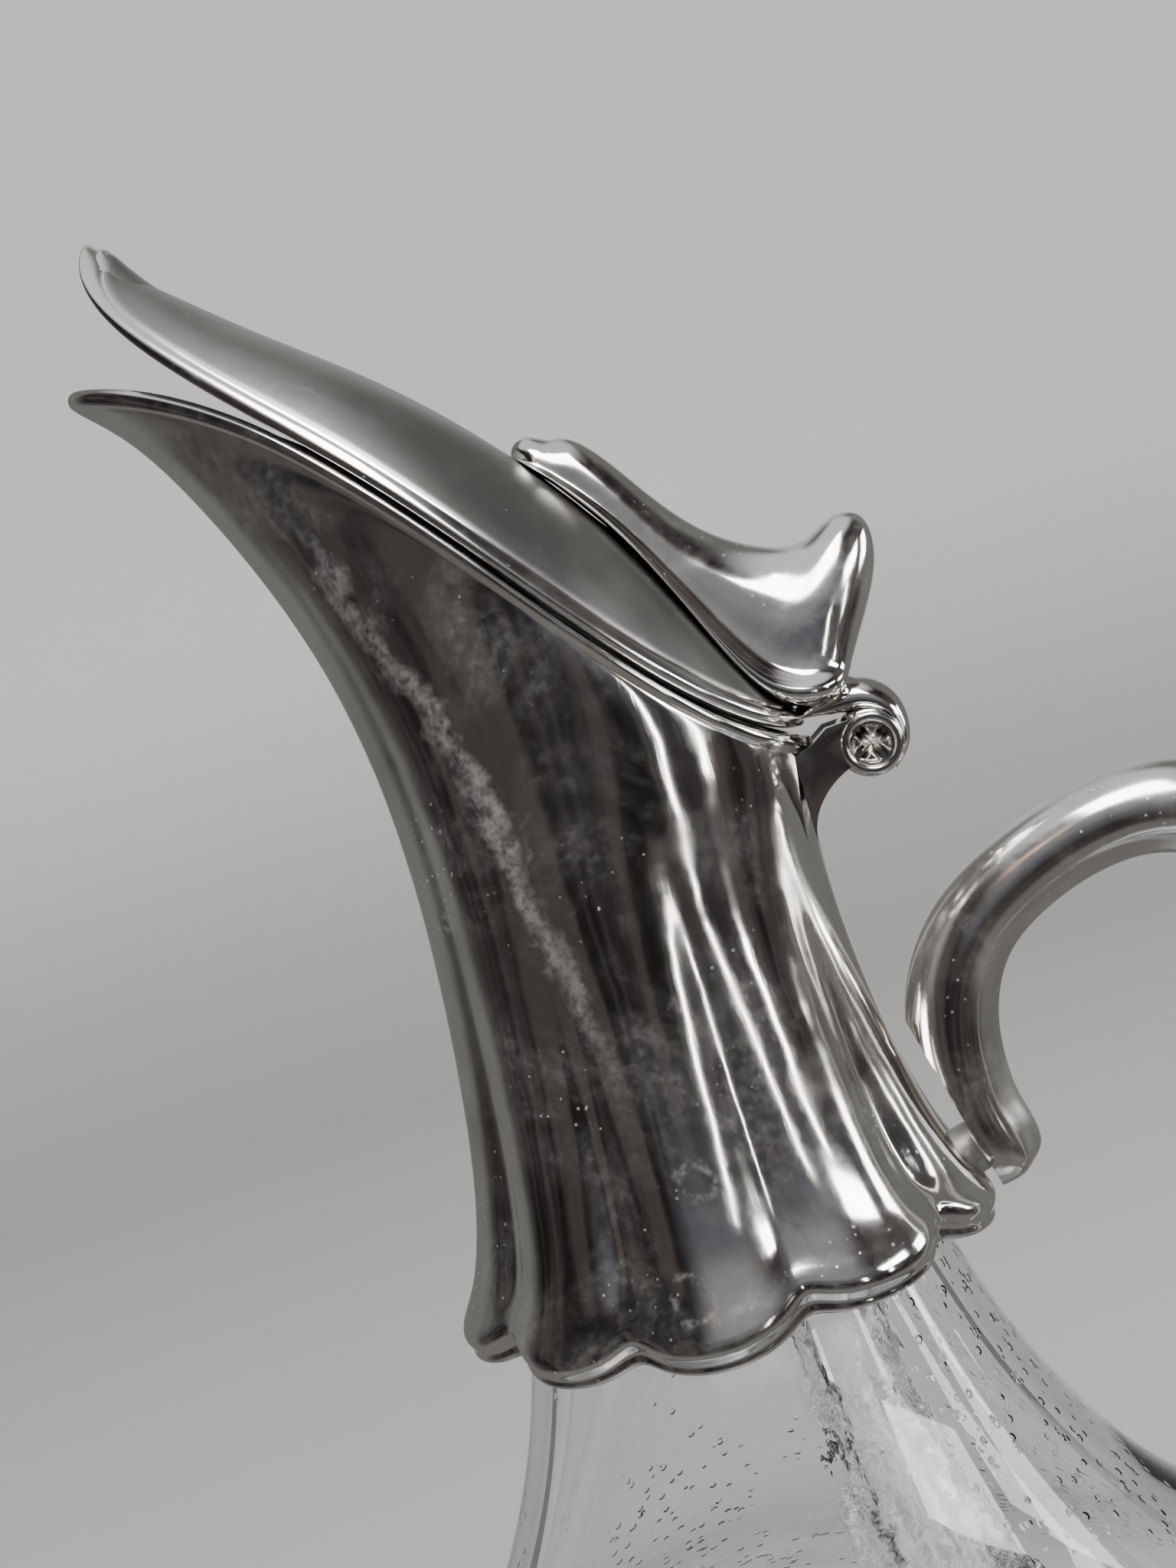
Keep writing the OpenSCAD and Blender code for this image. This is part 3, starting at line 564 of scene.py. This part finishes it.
def plate(name, colour, smooth, haze, patch, hollow, stain=0.12, film=0.14, trail=0.0, band=None,
          slot=None):
    """Silver plate: polished or satin, with hazy patches, faint tarnish, specks and dried water. The
    piece's attribute band is polished to the colour band; by its attribute slot it is darkened towards the
    colour slot, a painted shade in the screw's slots."""
    tree, shader, place = new_material(name)
    burnish = placed(tree, "Burnish", Place=place, Smooth=smooth, Haze=haze, Patch=patch)
    specks = times(tree, placed(tree, "Specks", Place=place, Scale=1150.0, Size=0.24, Share=0.3)["Mask"],
                   ramp(tree, noise(tree, place, 48, 4, 0.7), 0.5, 0.64))
    drops = placed(tree, "Dried Drops", Place=place, Scale=75.0, Share=0.2)["Mask"]
    mark = sums(tree, "MAXIMUM", times(tree, specks, 0.4), times(tree, drops, stain))
    for water, share in (("Film", film), ("Dried Trail", trail)):
        if share:
            wet = placed(tree, water, Place=place)["Mask"]
            mark = sums(tree, "MAXIMUM", mark, times(tree, wet, share))
    cloud = ramp(tree, noise(tree, place, 42, 5, 0.6), 0.45, 0.75)
    dark = tuple(c * f for c, f in zip(colour, (0.70, 0.67, 0.64)))
    metal, rough = tint(tree, times(tree, cloud, 0.6), colour, dark), burnish["Roughness"]
    # painted shade in the screw's slots: the deeper a point lies in a slot, the nearer it comes to the
    # colour slot
    if slot:
        slot_shade = put(tree, "ShaderNodeAttribute", attribute_name="slot").outputs["Fac"]
        metal = tint(tree, ramp(tree, slot_shade, 0.15, 0.75), metal, slot)
    if band:
        edge = put(tree, "ShaderNodeAttribute", attribute_name="band").outputs["Fac"]
        edge = ramp(tree, edge, 0.35, 0.65)
        metal = tint(tree, edge, metal, band)
        rough = times(tree, rough, ramp(tree, edge, 0, 1, 1, 0.45))
    feed(tree, shader, {"Base Color": tint(tree, mark, metal, (0.80, 0.80, 0.79)),
                        "Metallic": sums(tree, "SUBTRACT", 1.0, times(tree, mark, 0.8)),
                        "Roughness": plus(tree, rough, times(tree, mark, 0.4)),
                        "Normal": bumped(tree, 1.0, hollow * MM, burnish["Height"])})


# ---------- shapes of the mount and the lid ----------

def drawn_out(row):
    """How far a ring is drawn out into the spout: 0 below the waist and 1 at the rim."""
    return sqrt(row[3])


def ring_z(row, s):
    """Height of a ring along its way s from the back (0) to the front (1)."""
    back, front = RIM_BACK_H * row[0], SPOUT_H * row[1]
    up, down, dip = RIM_WAVE
    return back + (front - back) * (s + drawn_out(row) * s * (1 - s) * (up * s - down * s * s - dip))


def mount_ring(row, groove, inset, lift, cusp, droop):
    """Ring of the mount, moved inwards by inset, up by lift and by the cusp's rise in the grooves, and
    down by droop."""
    base, out = WAIST_R + FLARE * row[2], drawn_out(row)
    back, front = base + (RIM_BACK - WAIST_R) * out, base + (SPOUT_REACH - WAIST_R) * row[3]
    side = base + (RIM_W - WAIST_R) * out
    ring = []
    for i in range(LOBES):
        for u in LOBE_STEPS:
            turn = radians(lookup(360 * (i + u) / LOBES, GROOVE_TURNS))
            full = sin(pi * u) ** FULLNESS
            s = (1 - cos(turn)) / 2
            pull = inset + groove * (row[4] + (row[5] - row[4]) * s) * (1 - full)
            wide = (side - pull) * (1 + RIM_TAPER * out * cos(turn))
            ring.append(((back - front) / 2 + ((back + front) / 2 - pull) * cos(turn),
                         -wide * sin(turn),
                         BODY_H + ring_z(row, s) + lift + cusp * (1 - full) ** CUSP_SHARP
                         - droop * lookup(s, DROOP_LINE)))
    return ring


def mount_rings(sizes):
    """All rings of the mount: up the outside, over the rim, down the inside and round the lip."""
    wall, top = sizes.mount_wall, len(MOUNT_ROWS) - 1

    def ring(i, inset, lift, share=1):
        cusp, droop = CUSP_RISE * share * max(0, 1 - i / 2), DROOP * max(0, 1 - i / 3)
        return mount_ring(MOUNT_ROWS[i], sizes.groove, inset, lift, cusp, droop)

    return ([ring(i, 0, 0) for i in range(top)]
            + [ring(top, inset, lift) for inset, lift in RIM_LINE]
            + [ring(top, wall * 0.5, RIM_TOP), ring(top, wall * 1.1, RIM_TOP * 0.45)]
            + [ring(i, wall, -1 if i == top else 0) for i in range(top, -1, -1)]
            + [ring(0, inset, -lift, share) for inset, lift, share in LIP_LINE])


def lid_ring(share, over, lift, sink, rise, widen=0.0):
    """Ring of the lid at a share of the way out from the crown, moved outwards by over, with its
    arch lowered by sink. At the tip it lies further in by widen."""
    mid, long, wide = (RIM_BACK - SPOUT_REACH) / 2, (RIM_BACK + SPOUT_REACH) / 2 + over, RIM_W + over
    ring = []
    for k in range(LID_STEPS):
        turn = radians(360 * k / LID_STEPS)
        t = share - widen * max(0, -cos(turn)) ** 12
        x = CROWN_X + (mid + long * cos(turn) - CROWN_X) * t
        y = wide * sin(turn) * (1 + RIM_TAPER * cos(turn)) * t
        s = min(1, max(0, (mid + long - x) / (2 * long)))
        half = max(0.01, wide * sqrt(max(0, 1 - (1 - 2 * s) ** 2)) * (1 + RIM_TAPER * (1 - 2 * s)))
        arch = max(0, 1 - (y / half) ** 2) ** FULLNESS
        curl = max(0, (s - CURL_START) / (1 - CURL_START))
        z = ring_z(RIM_ROW, s) + lift + BEAK_LIFT * curl ** CURL_SHARP
        ring.append((x + BEAK_BACK * curl ** (CURL_SIDE - CURL_MIDDLE * arch), y,
                     BODY_H + z + max(0, rise - sink) * lookup(s, RIDGE_LINE) * arch))
    return ring


def toward(turn, rise):
    """Way out from the jug at a turn from the camera's side and a rise, in degrees."""
    turn, rise = radians(turn), radians(rise)
    return Vector((sin(turn) * cos(rise), -cos(turn) * cos(rise), sin(rise)))


# ---------- one operator for each piece or group of like pieces ----------

class JUG_OT_finishes(bpy.types.Operator):
    """Make the jug's finishes and the node groups that they share"""
    bl_idname = "jug.finishes"
    bl_label = "Finishes"

    def execute(self, context):
        colours = context.scene.jug_colours
        make_burnish()
        make_specks()
        make_dried_drops()
        make_film()
        make_dried_trail()
        shine = tuple(colours.plate)
        # name, colour, roughness, haze, scale of the patches, depth of the hollows, and the marks
        plate("bright_plate", shine, 0.08, 0.10, 110.0, 0.2, film=0.08)
        plate("mount_plate", shine, 0.08, 0.08, 90.0, 0.28, 0.1, 0.06, 0.24)
        plate("satin_finish", tuple(colours.satin), 0.30, 0.08, 60.0, 0.12, 0.05, 0.04, band=shine)
        plate("handle_plate", shine, 0.13, 0.10, 70.0, 0.25, 0.08, 0.08)
        # the last colour is the painted shade in the screw's slots
        plate("old_screw", tuple(colours.screw), 0.14, 0.3, 420.0, 0.35, 0.1, slot=(0.035, 0.025, 0.02))
        plate("grey_solder", (0.55, 0.55, 0.53), 0.38, 0.2, 300.0, 0.5, 0.1)
        self.plaster()
        self.glass(tuple(colours.glass))
        return {"FINISHED"}

    def plaster(self):
        """Matt white plaster with fine pits."""
        tree, shader, place = new_material("pitted_plaster")
        grain = noise(tree, place, 700, 6, 0.7)
        feed(tree, shader, {"Base Color": tint(tree, grain, (0.78, 0.74, 0.66), (0.9, 0.87, 0.8)),
                            "Roughness": 0.9, "Normal": bumped(tree, 0.6, 0.0003, grain)})

    def glass(self, colour):
        """Clear glass with a broad run of water down its right, its edges rippled, and beads beside it."""
        tree, shader, place = new_material("wet_glass")
        x, y, z = split(tree, place)
        long = drawn_long(tree, place, 0.4)
        way = gap(tree, plus(tree, turn_of(tree, x, y), wander(tree, long, 120, 6, 0.7, 0.5)), 0.47)
        low = ramp(tree, z, 0.04, 0.07)
        run = times(tree, ramp(tree, way, 0.23, 0.21), low)
        ripple = times(tree, ramp(tree, noise(tree, long, 420, 5, 0.7), 0.4, 0.6), run)
        shore = times(tree, run, sums(tree, "SUBTRACT", 1.0, ramp(tree, way, 0.2, 0.16)), 6.0)
        beads = times(tree, placed(tree, "Specks", Place=place, Scale=600.0, Size=0.36, Share=0.3)["Mask"],
                      ramp(tree, noise(tree, place, 26, 3, 0.6), 0.48, 0.58), low)
        height = plus(tree, times(tree, beads, 0.5), times(tree, noise(tree, long, 30, 2, 0.5), 0.8),
                      times(tree, ripple, plus(tree, shore, 0.25)))
        feed(tree, shader, {"Base Color": colour, "Transmission Weight": 1, "IOR": 1.5, "Roughness": 0,
                            "Coat Weight": run, "Normal": bumped(tree, 0.8, 0.0003, height)})


class JUG_OT_glass(bpy.types.Operator):
    """Turn the glass body and dress the plaster in its neck"""
    bl_idname = "jug.glass"
    bl_label = "Glass body"

    def execute(self, context):
        sizes = context.scene.jug_sizes
        belly = [(NECK_R + (GLASS_WIDE - NECK_R) * a, BODY_H * h) for a, h in BELLY_LINE[1:]]
        outer = smooth_run([(FOOT_R, 0)] + belly + [(NECK_R, GLASS_TOP)], 5)
        inner = []
        for i, p in enumerate(outer):
            along = (outer[min(i + 1, len(outer) - 1)] - outer[max(i - 1, 0)]).normalized()
            wall = lookup(p.y, [(0, sizes.glass_wall), (BODY_H * 0.72, sizes.glass_wall * 0.6),
                                (BODY_H, sizes.neck_wall)])
            inner.append(p + wall * Vector((-along.y, along.x)))
        inner = [p for p in inner if p.y > sizes.glass_floor]
        lip = [(NECK_R - sizes.neck_wall / 2, GLASS_TOP)]
        line = ([(0.05, FOOT_HOLLOW), (FOOT_R * 0.5, FOOT_HOLLOW), (FOOT_R * 0.78, FOOT_HOLLOW * 0.3),
                 (FOOT_R * 0.82, 0)] + [tuple(p) for p in outer] + lip + [tuple(p) for p in reversed(inner)]
                + [(inner[0].x * 0.97, sizes.glass_floor + 0.4), (inner[0].x * 0.9, sizes.glass_floor),
                   (0.05, sizes.glass_floor)])
        piece = spun("glass_wall", line + line[:1], 160, 0.00002)
        opened(piece)
        bpy.ops.mesh.normals_make_consistent(inside=False)
        shut()
        rounded(40)
        finished(piece, "jug", "wet_glass", "glass_body")
        plaster = frame["nodes"]["neck_plaster"].data.materials
        plaster.clear()
        plaster.append(bpy.data.materials["pitted_plaster"])
        return {"FINISHED"}


class JUG_OT_mount(bpy.types.Operator):
    """Build the fluted spout mount"""
    bl_idname = "jug.mount"
    bl_label = "Spout mount"

    def execute(self, context):
        sizes = context.scene.jug_sizes
        piece = smoothed(caged("mount_shell", mount_rings(sizes), True), sizes.smooth)
        finished(piece, "jug", "mount_plate", "spout_mount")
        return {"FINISHED"}


class JUG_OT_hinge(bpy.types.Operator):
    """Dress the hinge's bracket, screw, nut and knuckle"""
    bl_idname = "jug.hinge"
    bl_label = "Hinge"

    def execute(self, context):
        finished(self.ears(), "jug", "bright_plate", "hinge_bracket")
        finished(self.screw(), "jug", "old_screw", "hinge_screw")
        finished(twin("hinge_nut", "screw_nut", 0.1), "jug", "bright_plate", "hinge_nut")
        knuckle = self.knuckle(context.scene.jug_sizes.smooth)
        finished(knuckle, "lid", "bright_plate", "lid_knuckle")
        return {"FINISHED"}

    def ears(self):
        """Bracket with a raised round ring at the mouth of each ear."""
        piece = twin("hinge_bracket", "bracket_ears", 0.4, rounds=5)
        low, high = (corner.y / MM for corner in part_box("hinge_bracket"))
        rings = []
        for y in (low + 0.3, high - 0.3):
            clear()
            bpy.ops.mesh.primitive_torus_add(major_segments=72, minor_segments=20,
                                             major_radius=EAR_RING * MM, minor_radius=EAR_RING_D / 2 * MM,
                                             rotation=(radians(90), 0, 0),
                                             location=Vector((HINGE.x, y, HINGE.z)) * MM)
            bpy.ops.object.transform_apply(location=True, rotation=True, scale=True)
            rings.append(bpy.context.object)
        take(piece)
        for ring in rings:
            ring.select_set(True)
        bpy.ops.object.join()
        rounded(50)
        return piece

    def knuckle(self, levels):
        """Barrel round the screw with a rounded scroll that runs over it from the lid."""
        half, hole = SCROLL_W / 2, PIN_R + 0.06
        line = ((hole, -half), (BARREL_R - 0.7, -half), (BARREL_R, -half + 0.5), (BARREL_R, half - 0.5),
                (BARREL_R - 0.7, half), (hole, half))
        turns = [radians(15 * k) for k in range(24)]
        barrel = caged("barrel", [[(HINGE.x + r * cos(a), y, HINGE.z + r * sin(a)) for a in turns]
                                  for r, y in line], True)
        rings = []
        for turn, outer, inner in SCROLL_LINE:
            way = Vector((cos(radians(turn)), 0, sin(radians(turn))))
            middle, r = (outer + inner) / 2, (outer - inner) / 2
            rings.append([tuple(HINGE + way * (middle + r * h) + Vector((0, w * half, 0)))
                          for h, w in SCROLL_SECTION])
        scroll = smoothed(caged("knuckle", rings, False), levels + 1)
        smoothed(barrel, levels)
        take(scroll)
        bpy.ops.object.modifier_add(type="BOOLEAN")
        join = scroll.modifiers[-1]
        join.operation, join.solver, join.object = "UNION", "EXACT", barrel
        bpy.ops.object.modifier_apply(modifier=join.name)
        take(barrel)
        bpy.ops.object.delete()
        take(scroll)
        rounded(50)
        return scroll

    def screw(self):
        """Worn screw: a shank, and a round head whose crossed slots have broken through its edge."""
        low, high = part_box("hinge_screw")
        face, far, head = low.y / MM, high.y / MM, high.x / MM - HINGE.x
        line = [(PIN_R, far, 0), (PIN_R, face + 1.6, 0)]
        line += [(head * r, face + y, cut) for r, y, cut in SCREW_HEAD]
        rings, dark = [], []
        for r, y, cut in line:
            ring, shade = [], []
            for k in range(SCREW_STEPS):
                turn = radians(360 / SCREW_STEPS * k)
                cross = turn - radians(SCREW_TURN)
                near = min(abs(r * cos(cross)), abs(r * sin(cross)))
                deep = 1 - lookup(near, [(SCREW_SLOT * 0.3, 0), (SCREW_SLOT * 0.62, 1)])
                deep = cut * deep * min(1, r / head + 0.35)
                worn = 0.07 * cut * (sin(5 * turn + 1) + sin(3 * turn + 2.5 * r))
                out = r * (1 - 0.1 * cut * max(0, sin(3 * turn + 0.6)) ** 2 * (r / head) ** 4)
                ring.append((HINGE.x + out * cos(turn), y + SCREW_DEEP * deep + worn,
                             HINGE.z + out * sin(turn)))
                shade.append(deep * min(1, r / head + 0.1))
            rings.append(ring)
            dark.append(shade)
        # how deep each point lies in a slot, by which the finish paints shade there
        marks = {"slot": lambda i, j: dark[i][j]}
        return smoothed(caged("screw_head", rings, False, marks), 2)


class JUG_OT_lid(bpy.types.Operator):
    """Build the satin lid with its polished band"""
    bl_idname = "jug.lid"
    bl_label = "Lid"

    def execute(self, context):
        sizes = context.scene.jug_sizes
        wall, rise, seat = sizes.lid_wall, sizes.lid_rise, LID_SEAT
        rings = [lid_ring(t, LID_OVER, seat + BAND_H - 0.2, 0, rise, t ** 6 * 0.04) for t in LID_OUT]
        rings += [lid_ring(t, LID_OVER, seat + BAND_H - drop, 0, rise, 0.04) for t, drop in LID_GROOVE]
        rings += [lid_ring(1, LID_OVER + over, seat + lift, 0, rise) for over, lift in
                  ((0.25, BAND_H - 0.1), (0.45, BAND_H / 2), (0.05, 0), (-wall * 0.6, 0), (-wall, 0.5))]
        rings += [lid_ring(t, LID_OVER - wall, seat + 0.6, wall * 1.1, rise) for t in LID_BACK]
        band = range(len(LID_OUT) + 1, len(LID_OUT) + 8)
        cage = caged("lid_skin", rings, False, {"band": lambda i, j: 1.0 if i in band else 0.0})
        finished(smoothed(cage, sizes.smooth), "lid", "satin_finish", "lid_shell")
        return {"FINISHED"}


class JUG_OT_thumb(bpy.types.Operator):
    """Build the thumb-piece"""
    bl_idname = "jug.thumb"
    bl_label = "Thumb-piece"

    def execute(self, context):
        sizes = context.scene.jug_sizes
        rings = []
        for foot, top, wide in zip(THUMB_FOOT, THUMB_TOP, THUMB_WIDE):
            rings.append([(HINGE.x + foot[0] + (top[0] - foot[0]) * h, w * sizes.horn_w * wide,
                           HINGE.z + foot[1] + (top[1] - foot[1]) * h) for w, h in SLICE_LINE])
        piece = smoothed(caged("thumb_horn", rings, False), sizes.smooth + 1)
        finished(piece, "lid", "bright_plate", "thumb_piece")
        return {"FINISHED"}


class JUG_OT_handle(bpy.types.Operator):
    """Build the arched handle and its solder"""
    bl_idname = "jug.handle"
    bl_label = "Handle"

    def execute(self, context):
        sizes = context.scene.jug_sizes
        share = cos(pi / LOBES)
        crest = [(row[0] * RIM_BACK_H, WAIST_R + FLARE * row[2]) for row in MOUNT_ROWS]
        low = lookup(ROOT_LOW, crest) * share + ROOT_GAP
        high = lookup(ROOT_HIGH, crest) * share + ROOT_GAP + ROOT_LEAN
        root = high + sizes.handle_d / 2 - ROOT_FILED
        line = [Vector((root + (HANDLE_REACH - root) * a, h)) for a, h in HANDLE_LINE]
        rings = []
        for i, p in enumerate(line):
            along = (line[min(i + 1, len(line) - 1)] - line[max(i - 1, 0)]).normalized()
            r = sizes.handle_d / 2 * HANDLE_SIZE[i]
            rings.append([(p.x + along.y * a * r, -b * r, BODY_H + p.y - along.x * a * r)
                          for a, b in HANDLE_SECTION])
        piece = smoothed(caged("handle_bar", rings, False), sizes.smooth)
        # the flat that is filed on the root, within 8 mm of the mount
        opened(piece)
        bpy.ops.mesh.select_all(action="DESELECT")
        shut()
        reach = (high + 8) * MM
        for v in piece.data.vertices:
            v.select = v.co.x < reach and v.co.z < (BODY_H + ROOT_HIGH) * MM
        bpy.ops.object.mode_set(mode="EDIT")
        face = Vector((high - low, 0, ROOT_HIGH - ROOT_LOW)).normalized()
        bpy.ops.mesh.select_mode(type="VERT")
        bpy.ops.mesh.select_more()
        bpy.ops.mesh.bisect(plane_co=Vector((high, 0, BODY_H + ROOT_HIGH)) * MM,
                            plane_no=(face.z, 0, -face.x), use_fill=True, clear_inner=True)
        shut()
        rounded(40)
        finished(piece, "jug", "handle_plate", "handle")
        pad = twin("handle_solder_pad", "solder_bead", 0.3)
        finished(pad, "jug", "grey_solder", "handle_solder_pad")
        return {"FINISHED"}


class JUG_OT_stage(bpy.types.Operator):
    """Set up the pale floor and backdrop, the soft lights and the camera"""
    bl_idname = "jug.stage"
    bl_label = "Stage"

    def execute(self, context):
        self.backdrop(tuple(context.scene.jug_colours.stage))
        self.room()
        # name, turn from the camera's side, rise, size in metres, brightness and colour
        for name, turn, rise, size, bright, colour in (
                ("window_high", 18, 58, (0.52, 0.44), 13, DAYLIGHT),
                ("window_near", 34, 3, (0.035, 0.28), 14, DAYLIGHT),
                ("window_right", 59, 3, (0.05, 0.22), 14, DAYLIGHT),
                ("window_side", 101, 9, (0.28, 0.34), 11, DAYLIGHT),
                ("window_wide", 66, 18, (0.46, 0.20), 14, (0.98, 0.98, 1)),
                ("warm_card", -14, 40, (0.10, 0.08), 2.0, (1, 0.62, 0.48))):
            self.light(name, turn, rise, size, bright, colour)
        lamp = self.light("backdrop_light", 0, 52, (1.6, 1.0), 8.2, (1, 1, 1), 1.7)
        lamp.visible_glossy = False
        self.dark_cards()
        self.camera(context)
        return {"FINISHED"}

    def backdrop(self, colour):
        """Round pale floor whose edge curves up into a wall all round."""
        floor, bend, wall = 900, 500, 1500
        bends = [radians(9 * k) for k in range(1, 11)]
        line = ([(0.05, 0), (floor, 0)]
                + [(floor + bend * sin(a), bend * (1 - cos(a))) for a in bends] + [(floor + bend, wall)])
        piece = spun("backdrop", line, 96, 0.0002)
        bpy.ops.object.shade_smooth()
        tree, shader, place = new_material("pale_paper")
        # painted shade: the floor and the foot of the wall are darker than the wall above
        pale, low = tuple(c * 0.96 for c in colour), tuple(c * 0.56 for c in colour)
        paper = tint(tree, noise(tree, place, 9, 5, 0.6), pale, colour)
        height = ramp(tree, split(tree, place)[2], 0, 0.3)
        feed(tree, shader, {"Base Color": tint(tree, height, low, paper), "Roughness": 0.85,
                            "Specular IOR Level": 0.2})
        piece.data.materials.append(bpy.data.materials["pale_paper"])
        piece.visible_glossy = False

    def dark_cards(self):
        """Dark upright card at each side, which draws the dark lines in the glass."""
        tree, shader, place = new_material("black_card")
        cloth = tint(tree, noise(tree, place, 60, 4, 0.6), (0.07, 0.07, 0.075), (0.12, 0.12, 0.13))
        feed(tree, shader, {"Base Color": cloth, "Roughness": 0.9})
        for name, degrees in (("dark_card_left", -137), ("dark_card_right", 137)):
            clear()
            turn = radians(degrees)
            way = Vector((sin(turn), -cos(turn), 0))
            bpy.ops.mesh.primitive_plane_add(size=1, location=way * 0.95 + Vector((0, 0, 0.35)),
                                             rotation=(radians(90), 0, turn))
            card = bpy.context.object
            card.name = card.data.name = name
            card.scale = (0.09, 1.1, 1)
            bpy.ops.object.transform_apply(location=True, rotation=True, scale=True)
            card.data.materials.append(bpy.data.materials["black_card"])
            card.visible_camera = card.visible_glossy = card.visible_diffuse = card.visible_shadow = False

    def room(self):
        """Dim warm room that the metal reflects."""
        world = bpy.data.worlds.new("room")
        bpy.context.scene.world = world
        world.use_nodes = True
        tree = world.node_tree
        tree.nodes.clear()
        way = put(tree, "ShaderNodeTexCoord").outputs["Generated"]
        x, y, up = split(tree, way)
        turn = turn_of(tree, x, y)
        aside = sums(tree, "ABSOLUTE", turn)
        shade = ramp(tree, noise(tree, drawn_long(tree, way, 0.3), 4.0, 3, 0.6), 0.42, 0.62)
        front = tint(tree, shade, (0.014, 0.012, 0.013), (0.06, 0.052, 0.05))
        centre = times(tree, ramp(tree, gap(tree, turn, 0.2), 0.75, 0.3), ramp(tree, up, 0.02, 0.3))
        glow = tint(tree, ramp(tree, up, 0.3, 0.52), (0.115, 0.12, 0.14), (0.27, 0.27, 0.28))
        front = tint(tree, times(tree, centre, 0.85), front, glow)
        side = tint(tree, ramp(tree, aside, 1.7, 2.15), front, (0.16, 0.16, 0.155))
        behind = tint(tree, ramp(tree, aside, 2.7, 3.0), side, (0.55, 0.55, 0.54))
        above = tint(tree, ramp(tree, up, 0.78, 0.93), behind, (0.7, 0.7, 0.71))
        sky = tint(tree, ramp(tree, up, -0.25, -0.6), above, (0.16, 0.155, 0.15))
        back = put(tree, "ShaderNodeBackground", {"Color": sky, "Strength": 1.0})
        put(tree, "ShaderNodeOutputWorld", {"Surface": back.outputs[0]})

    def light(self, name, turn, rise, size, bright, colour, away=1.0):
        """Soft rectangular light that faces the jug from a turn and a rise seen from the camera's side."""
        clear()
        way = toward(turn, rise)
        bpy.ops.object.light_add(type="AREA", location=Vector((0, 0, 0.17)) + way * away)
        lamp = bpy.context.object
        lamp.name = lamp.data.name = name
        lamp.data.shape, lamp.data.size, lamp.data.size_y = "RECTANGLE", size[0], size[1]
        lamp.data.energy, lamp.data.color = bright * pi * size[0] * size[1], colour
        lamp.rotation_euler = way.to_track_quat("Z", "Y").to_euler()
        return lamp

    def camera(self, context):
        """Camera close in front of the spout mount, a little above it and rolled to the right."""
        turn, roll, away = radians(4.5), radians(16), 260
        aim, pixels = Vector((-0.8, 0, 170.8)), 11.5
        back = toward(4.5, 2.7)
        level = Vector((cos(turn), sin(turn), 0))
        upright = back.cross(level)
        right = level * cos(roll) - upright * sin(roll)
        up = level * sin(roll) + upright * cos(roll)
        clear()
        bpy.ops.object.camera_add()
        camera = bpy.context.object
        camera.name = camera.data.name = "camera"
        stand = Matrix((right, up, back)).transposed().to_4x4()
        stand.translation = (aim + back * away) * MM
        camera.matrix_world = stand
        # the picture's longer side has 2048 pixels, 11.5 of them to a millimetre at the jug's middle
        camera.data.sensor_width = 36
        camera.data.lens = pixels * away / 2048 * 36
        camera.data.clip_start = 0.01
        context.scene.camera = camera


OPERATORS = (JUG_OT_stage, JUG_OT_finishes, JUG_OT_glass, JUG_OT_mount, JUG_OT_hinge, JUG_OT_lid,
             JUG_OT_thumb, JUG_OT_handle)


class JUG_PT_panel(bpy.types.Panel):
    """Claret jug's sizes, colours and pieces"""
    bl_label = "Claret Jug"
    bl_idname = "JUG_PT_panel"
    bl_space_type = "VIEW_3D"
    bl_region_type = "UI"
    bl_category = "Claret Jug"

    def draw(self, context):
        for values in (context.scene.jug_sizes, context.scene.jug_colours):
            for key in values.__annotations__:
                self.layout.prop(values, key)
        for operator in OPERATORS:
            self.layout.operator(operator.bl_idname)


CLASSES = (JugSizes, JugColours, *OPERATORS, JUG_PT_panel)


def register():
    for each in CLASSES:
        bpy.utils.register_class(each)
    bpy.types.Scene.jug_sizes = PointerProperty(type=JugSizes)
    bpy.types.Scene.jug_colours = PointerProperty(type=JugColours)


def unregister():
    del bpy.types.Scene.jug_sizes
    del bpy.types.Scene.jug_colours
    for each in reversed(CLASSES):
        bpy.utils.unregister_class(each)


def main():
    register()
    for operator in OPERATORS:
        getattr(bpy.ops.jug, operator.bl_idname.split(".")[1])()


if __name__ == "__main__":
    main()
